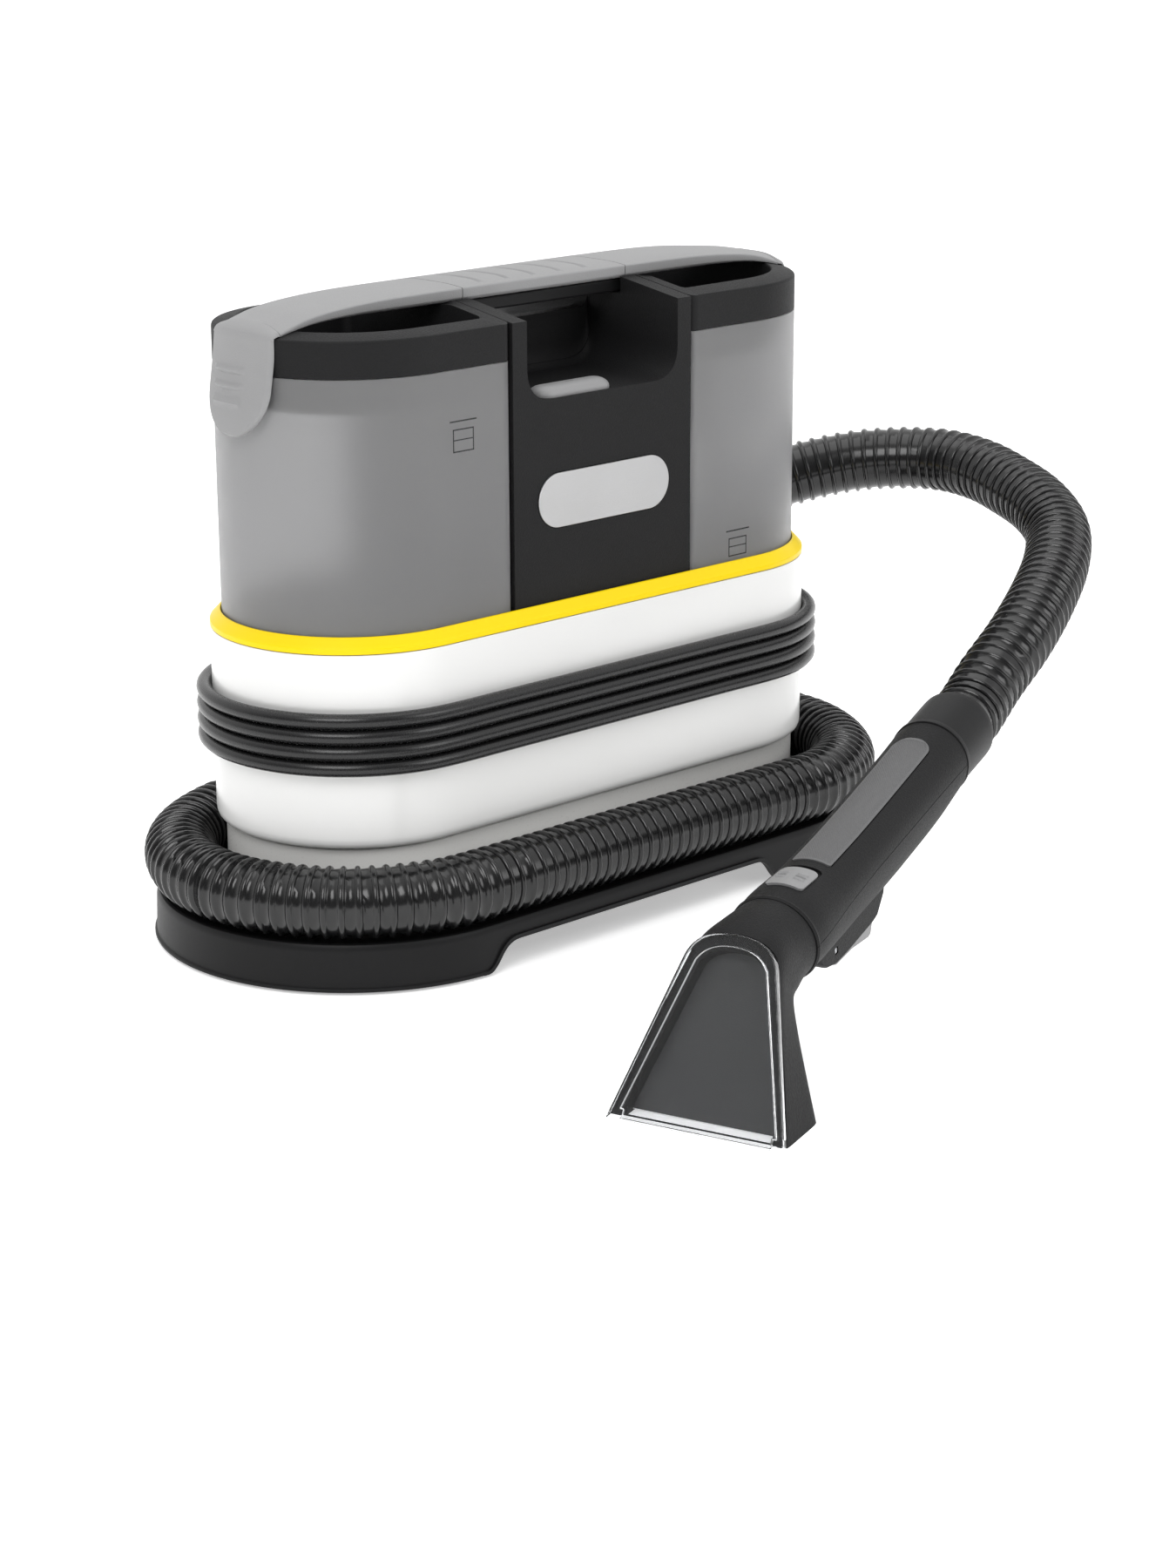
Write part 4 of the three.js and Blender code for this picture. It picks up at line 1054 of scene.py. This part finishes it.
def nozzle_form():
    rings = []
    for place in spaced(0, 4.4, 56):
        fx, fz, bx, bz, half, square = interpolate(NOZZLE_TABLE, place)
        centre = ((fx + bx) / 2, (fz + bz) / 2)
        reach = (fx - centre[0], fz - centre[1])
        ring = []
        for k in range(72):
            angle = 2 * math.pi * (k + 0.5) / 72
            c, s = math.cos(angle), math.sin(angle)
            forward = math.copysign(abs(c) ** (2 / square), c)
            sideways = math.copysign(abs(s) ** (2 / square), s)
            height = max(0, centre[1] + reach[1] * forward)
            ring.append((centre[0] + reach[0] * forward, half * sideways, height))
        rings.append(ring)
    return loft(rings)


def cover_outline(inset):
    """The cover's outline: straight flared sides and a round top."""
    low, high, top = 45.4 - inset, 23.8 - inset, COVER_LENGTH - inset
    side = bezier(((COVER_SHOULDER, high), (top - 4.3, high - 2.7), (top, 14 - inset / 2), (top, 0)))
    return [(inset, -low), (inset, low), *side, *((x, -y) for x, y in reversed(side[:-1]))]


def on_face(bm):
    """Lays what was built flat onto the nozzle's sloping front."""
    bm.transform(Matrix.Translation((0.5, 0, 0)) @ Matrix.Rotation(-COVER_SLOPE, 4, "Y"))
    return bm


def along_handle(bm, start):
    """Moves what was turned about X to a place on the handle's axis, in the tool's frame."""
    bm.transform(HANDLE_AXIS @ Matrix.Translation((start, 0, 0)))
    return bm


def add_tool():
    low, high = INLAY_SPAN
    upper_cut = patch(
        round_ended(10.5, low - 0.5, high + 0.5, 2, 8.5), low - 0.5, high + 0.5, 2, -1.3, 21, 60,
    )
    latch_cut = patch(round_ended(9.9, 13.6, 39.4, 3, 3), 13.6, 39.4, 3, -1.3, 21, 40)
    upper = cut(handle_half(0.4, 179.6), upper_cut, latch_cut)
    pin_hole = block(41.2, 44.8, -20, 20, -29.8, -26.2)
    belly = combine(handle_half(180.4, 359.6), "UNION", trigger_guard())
    lower = cut(belly, block(32, 99.5, -7.5, 7.5, -60, -20), pin_hole)
    piece("handle_top", upper, GRAINED, "hand_tool", ["handle_upper"], 0.0, matrix=HANDLE_MM,
          sharp=45)
    piece("handle_belly", lower, GRAINED, "hand_tool", ["handle_lower"], 0.0, matrix=HANDLE_MM,
          sharp=45)
    inlay = patch(round_ended(10, low, high, 1.5, 8), low, high, 0.3, -0.9, 61, 420, knurl)
    piece("grip_strip", inlay, INLAY, "hand_tool", ["grip_inlay"], matrix=HANDLE_MM,
          sharp=60)
    catch = patch(round_ended(9.5, 14, 35, 2.6, 3.4), 14, 35, 1.1, -0.9, 65, 70, latch_relief)
    piece("catch_button", catch, BUTTON_GREY, "nozzle_catch", ["release_latch"], matrix=HANDLE_MM,
          sharp=50)
    refined("trigger", GREY, "trigger_lever", 1.3)
    seat = on_face(prism(cover_outline(-0.4), -5.4, 20))
    channel = on_face(prism(cover_outline(7), -14, 0))
    mouth = block(7, 16, -37, 37, -5, 16)
    bore = along_handle(turned([(0, 0.01), (0, 12.5), (60, 12.5), (60, 0.01)], 48), -18)
    body = cut(nozzle_form(), bore, seat, channel, mouth)
    piece("nozzle_shell", body, GRAINED, "nozzle", ["nozzle_body"], 0.5, 2, matrix=TOOL_MM,
          sharp=40)
    plate = prism(cover_outline(0), -5, 0)
    plate = cut(plate, prism(cover_outline(5.5), -6, -2.3), block(-1, 8, -38, 38, -6, -2.3))
    plate = cut(on_face(plate), block(-60, 60, -60, 60, -20, 0))
    piece("clear_front", plate, CLEAR, "nozzle", ["nozzle_cover"], 0.6, 3, matrix=TOOL_MM)
    back = on_face(prism(cover_outline(7.3), -13.9, -12.6))
    piece("channel_back", back, PANEL, "nozzle", matrix=TOOL_MM)
    refined("spray_tip", STEEL, "nozzle", 0.3)


add_housing()
add_column()
add_tanks()
add_tool()


# ---------------------------------------------------------------- finishes of the CAD nodes that stay

NODE_FINISHES = {
    BLACK: ("tank_deck", "fan_housing", "fan_cover", "pump_body", "power_switch", "spray_valve"),
    RUBBER: ("foot_front_left", "foot_front_right", "foot_rear_left", "foot_rear_right", "motor_mount",
             "fresh_lid_seal", "dirty_lid_seal"),
    GREY: ("intake_duct", "fresh_valve"),
    STEEL: ("fan_motor", "pump_plunger", "trigger_pin", "valve_plunger"),
    ORANGE: ("fan_impeller", "float_ball"),
    BOARD: ("control_board",),
}
for finish, names in NODE_FINISHES.items():
    for node_name in names:
        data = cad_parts[node_name].data
        data.materials.clear()
        data.materials.append(finish)


# ---------------------------------------------------------------- floor and light

def studio_sky():
    """A bright surround that is dimmer on the side the camera stands on."""
    world = bpy.data.worlds.new("studio")
    bpy.context.scene.world = world
    world.use_nodes = True
    tree = world.node_tree
    coordinates = tree.nodes.new("ShaderNodeTexCoord")
    facing = tree.nodes.new("ShaderNodeVectorMath")
    facing.operation = "DOT_PRODUCT"
    facing.inputs[1].default_value = (-0.62, -0.66, -0.42)
    dim = tree.nodes.new("ShaderNodeMapRange")
    dim.interpolation_type = "SMOOTHSTEP"
    dim.inputs["From Min"].default_value = -0.35
    dim.inputs["From Max"].default_value = 0.55
    dim.inputs["To Min"].default_value = 1.05
    dim.inputs["To Max"].default_value = 0.22
    tree.links.new(coordinates.outputs["Generated"], facing.inputs[0])
    tree.links.new(facing.outputs["Value"], dim.inputs["Value"])
    tree.links.new(dim.outputs["Result"], tree.nodes["Background"].inputs["Strength"])
    tree.nodes["Background"].inputs["Color"].default_value = (1, 1, 1, 1)


def add_stage():
    floor = raw_object(mesh_of([(-30, -30, 0), (30, -30, 0), (30, 30, 0), (-30, 30, 0)], [[0, 1, 2, 3]]))
    floor.name = "floor"
    paper = plastic("floor_paper", (0.93, 0.93, 0.93), 0.7, 0, 200, 0.004, 0.2)
    shader = paper.node_tree.nodes["Principled BSDF"]
    shader.inputs["Emission Color"].default_value = (1, 1, 1, 1)
    shader.inputs["Emission Strength"].default_value = 0.42
    floor.data.materials.append(paper)
    studio_sky()
    for name, place, aim, size, power in (
        ("key", (-1.5, -0.9, 1.7), (0, 0, 0.15), 1.1, 21),
        ("fill", (0.7, -2.2, 1.3), (0, 0, 0.1), 1.2, 15),
        ("top", (0.2, 0.3, 2.4), (0, 0, 0.1), 2.0, 14),
    ):
        data = bpy.data.lights.new(name, "AREA")
        data.size = size
        data.energy = power
        light = bpy.data.objects.new(name, data)
        bpy.context.scene.collection.objects.link(light)
        light.location = MACHINE @ Vector(place)
        direction = MACHINE @ Vector(aim) - light.location
        light.rotation_euler = direction.to_track_quat("-Z", "Y").to_euler()


add_stage()
bpy.context.scene.view_settings.view_transform = "Standard"
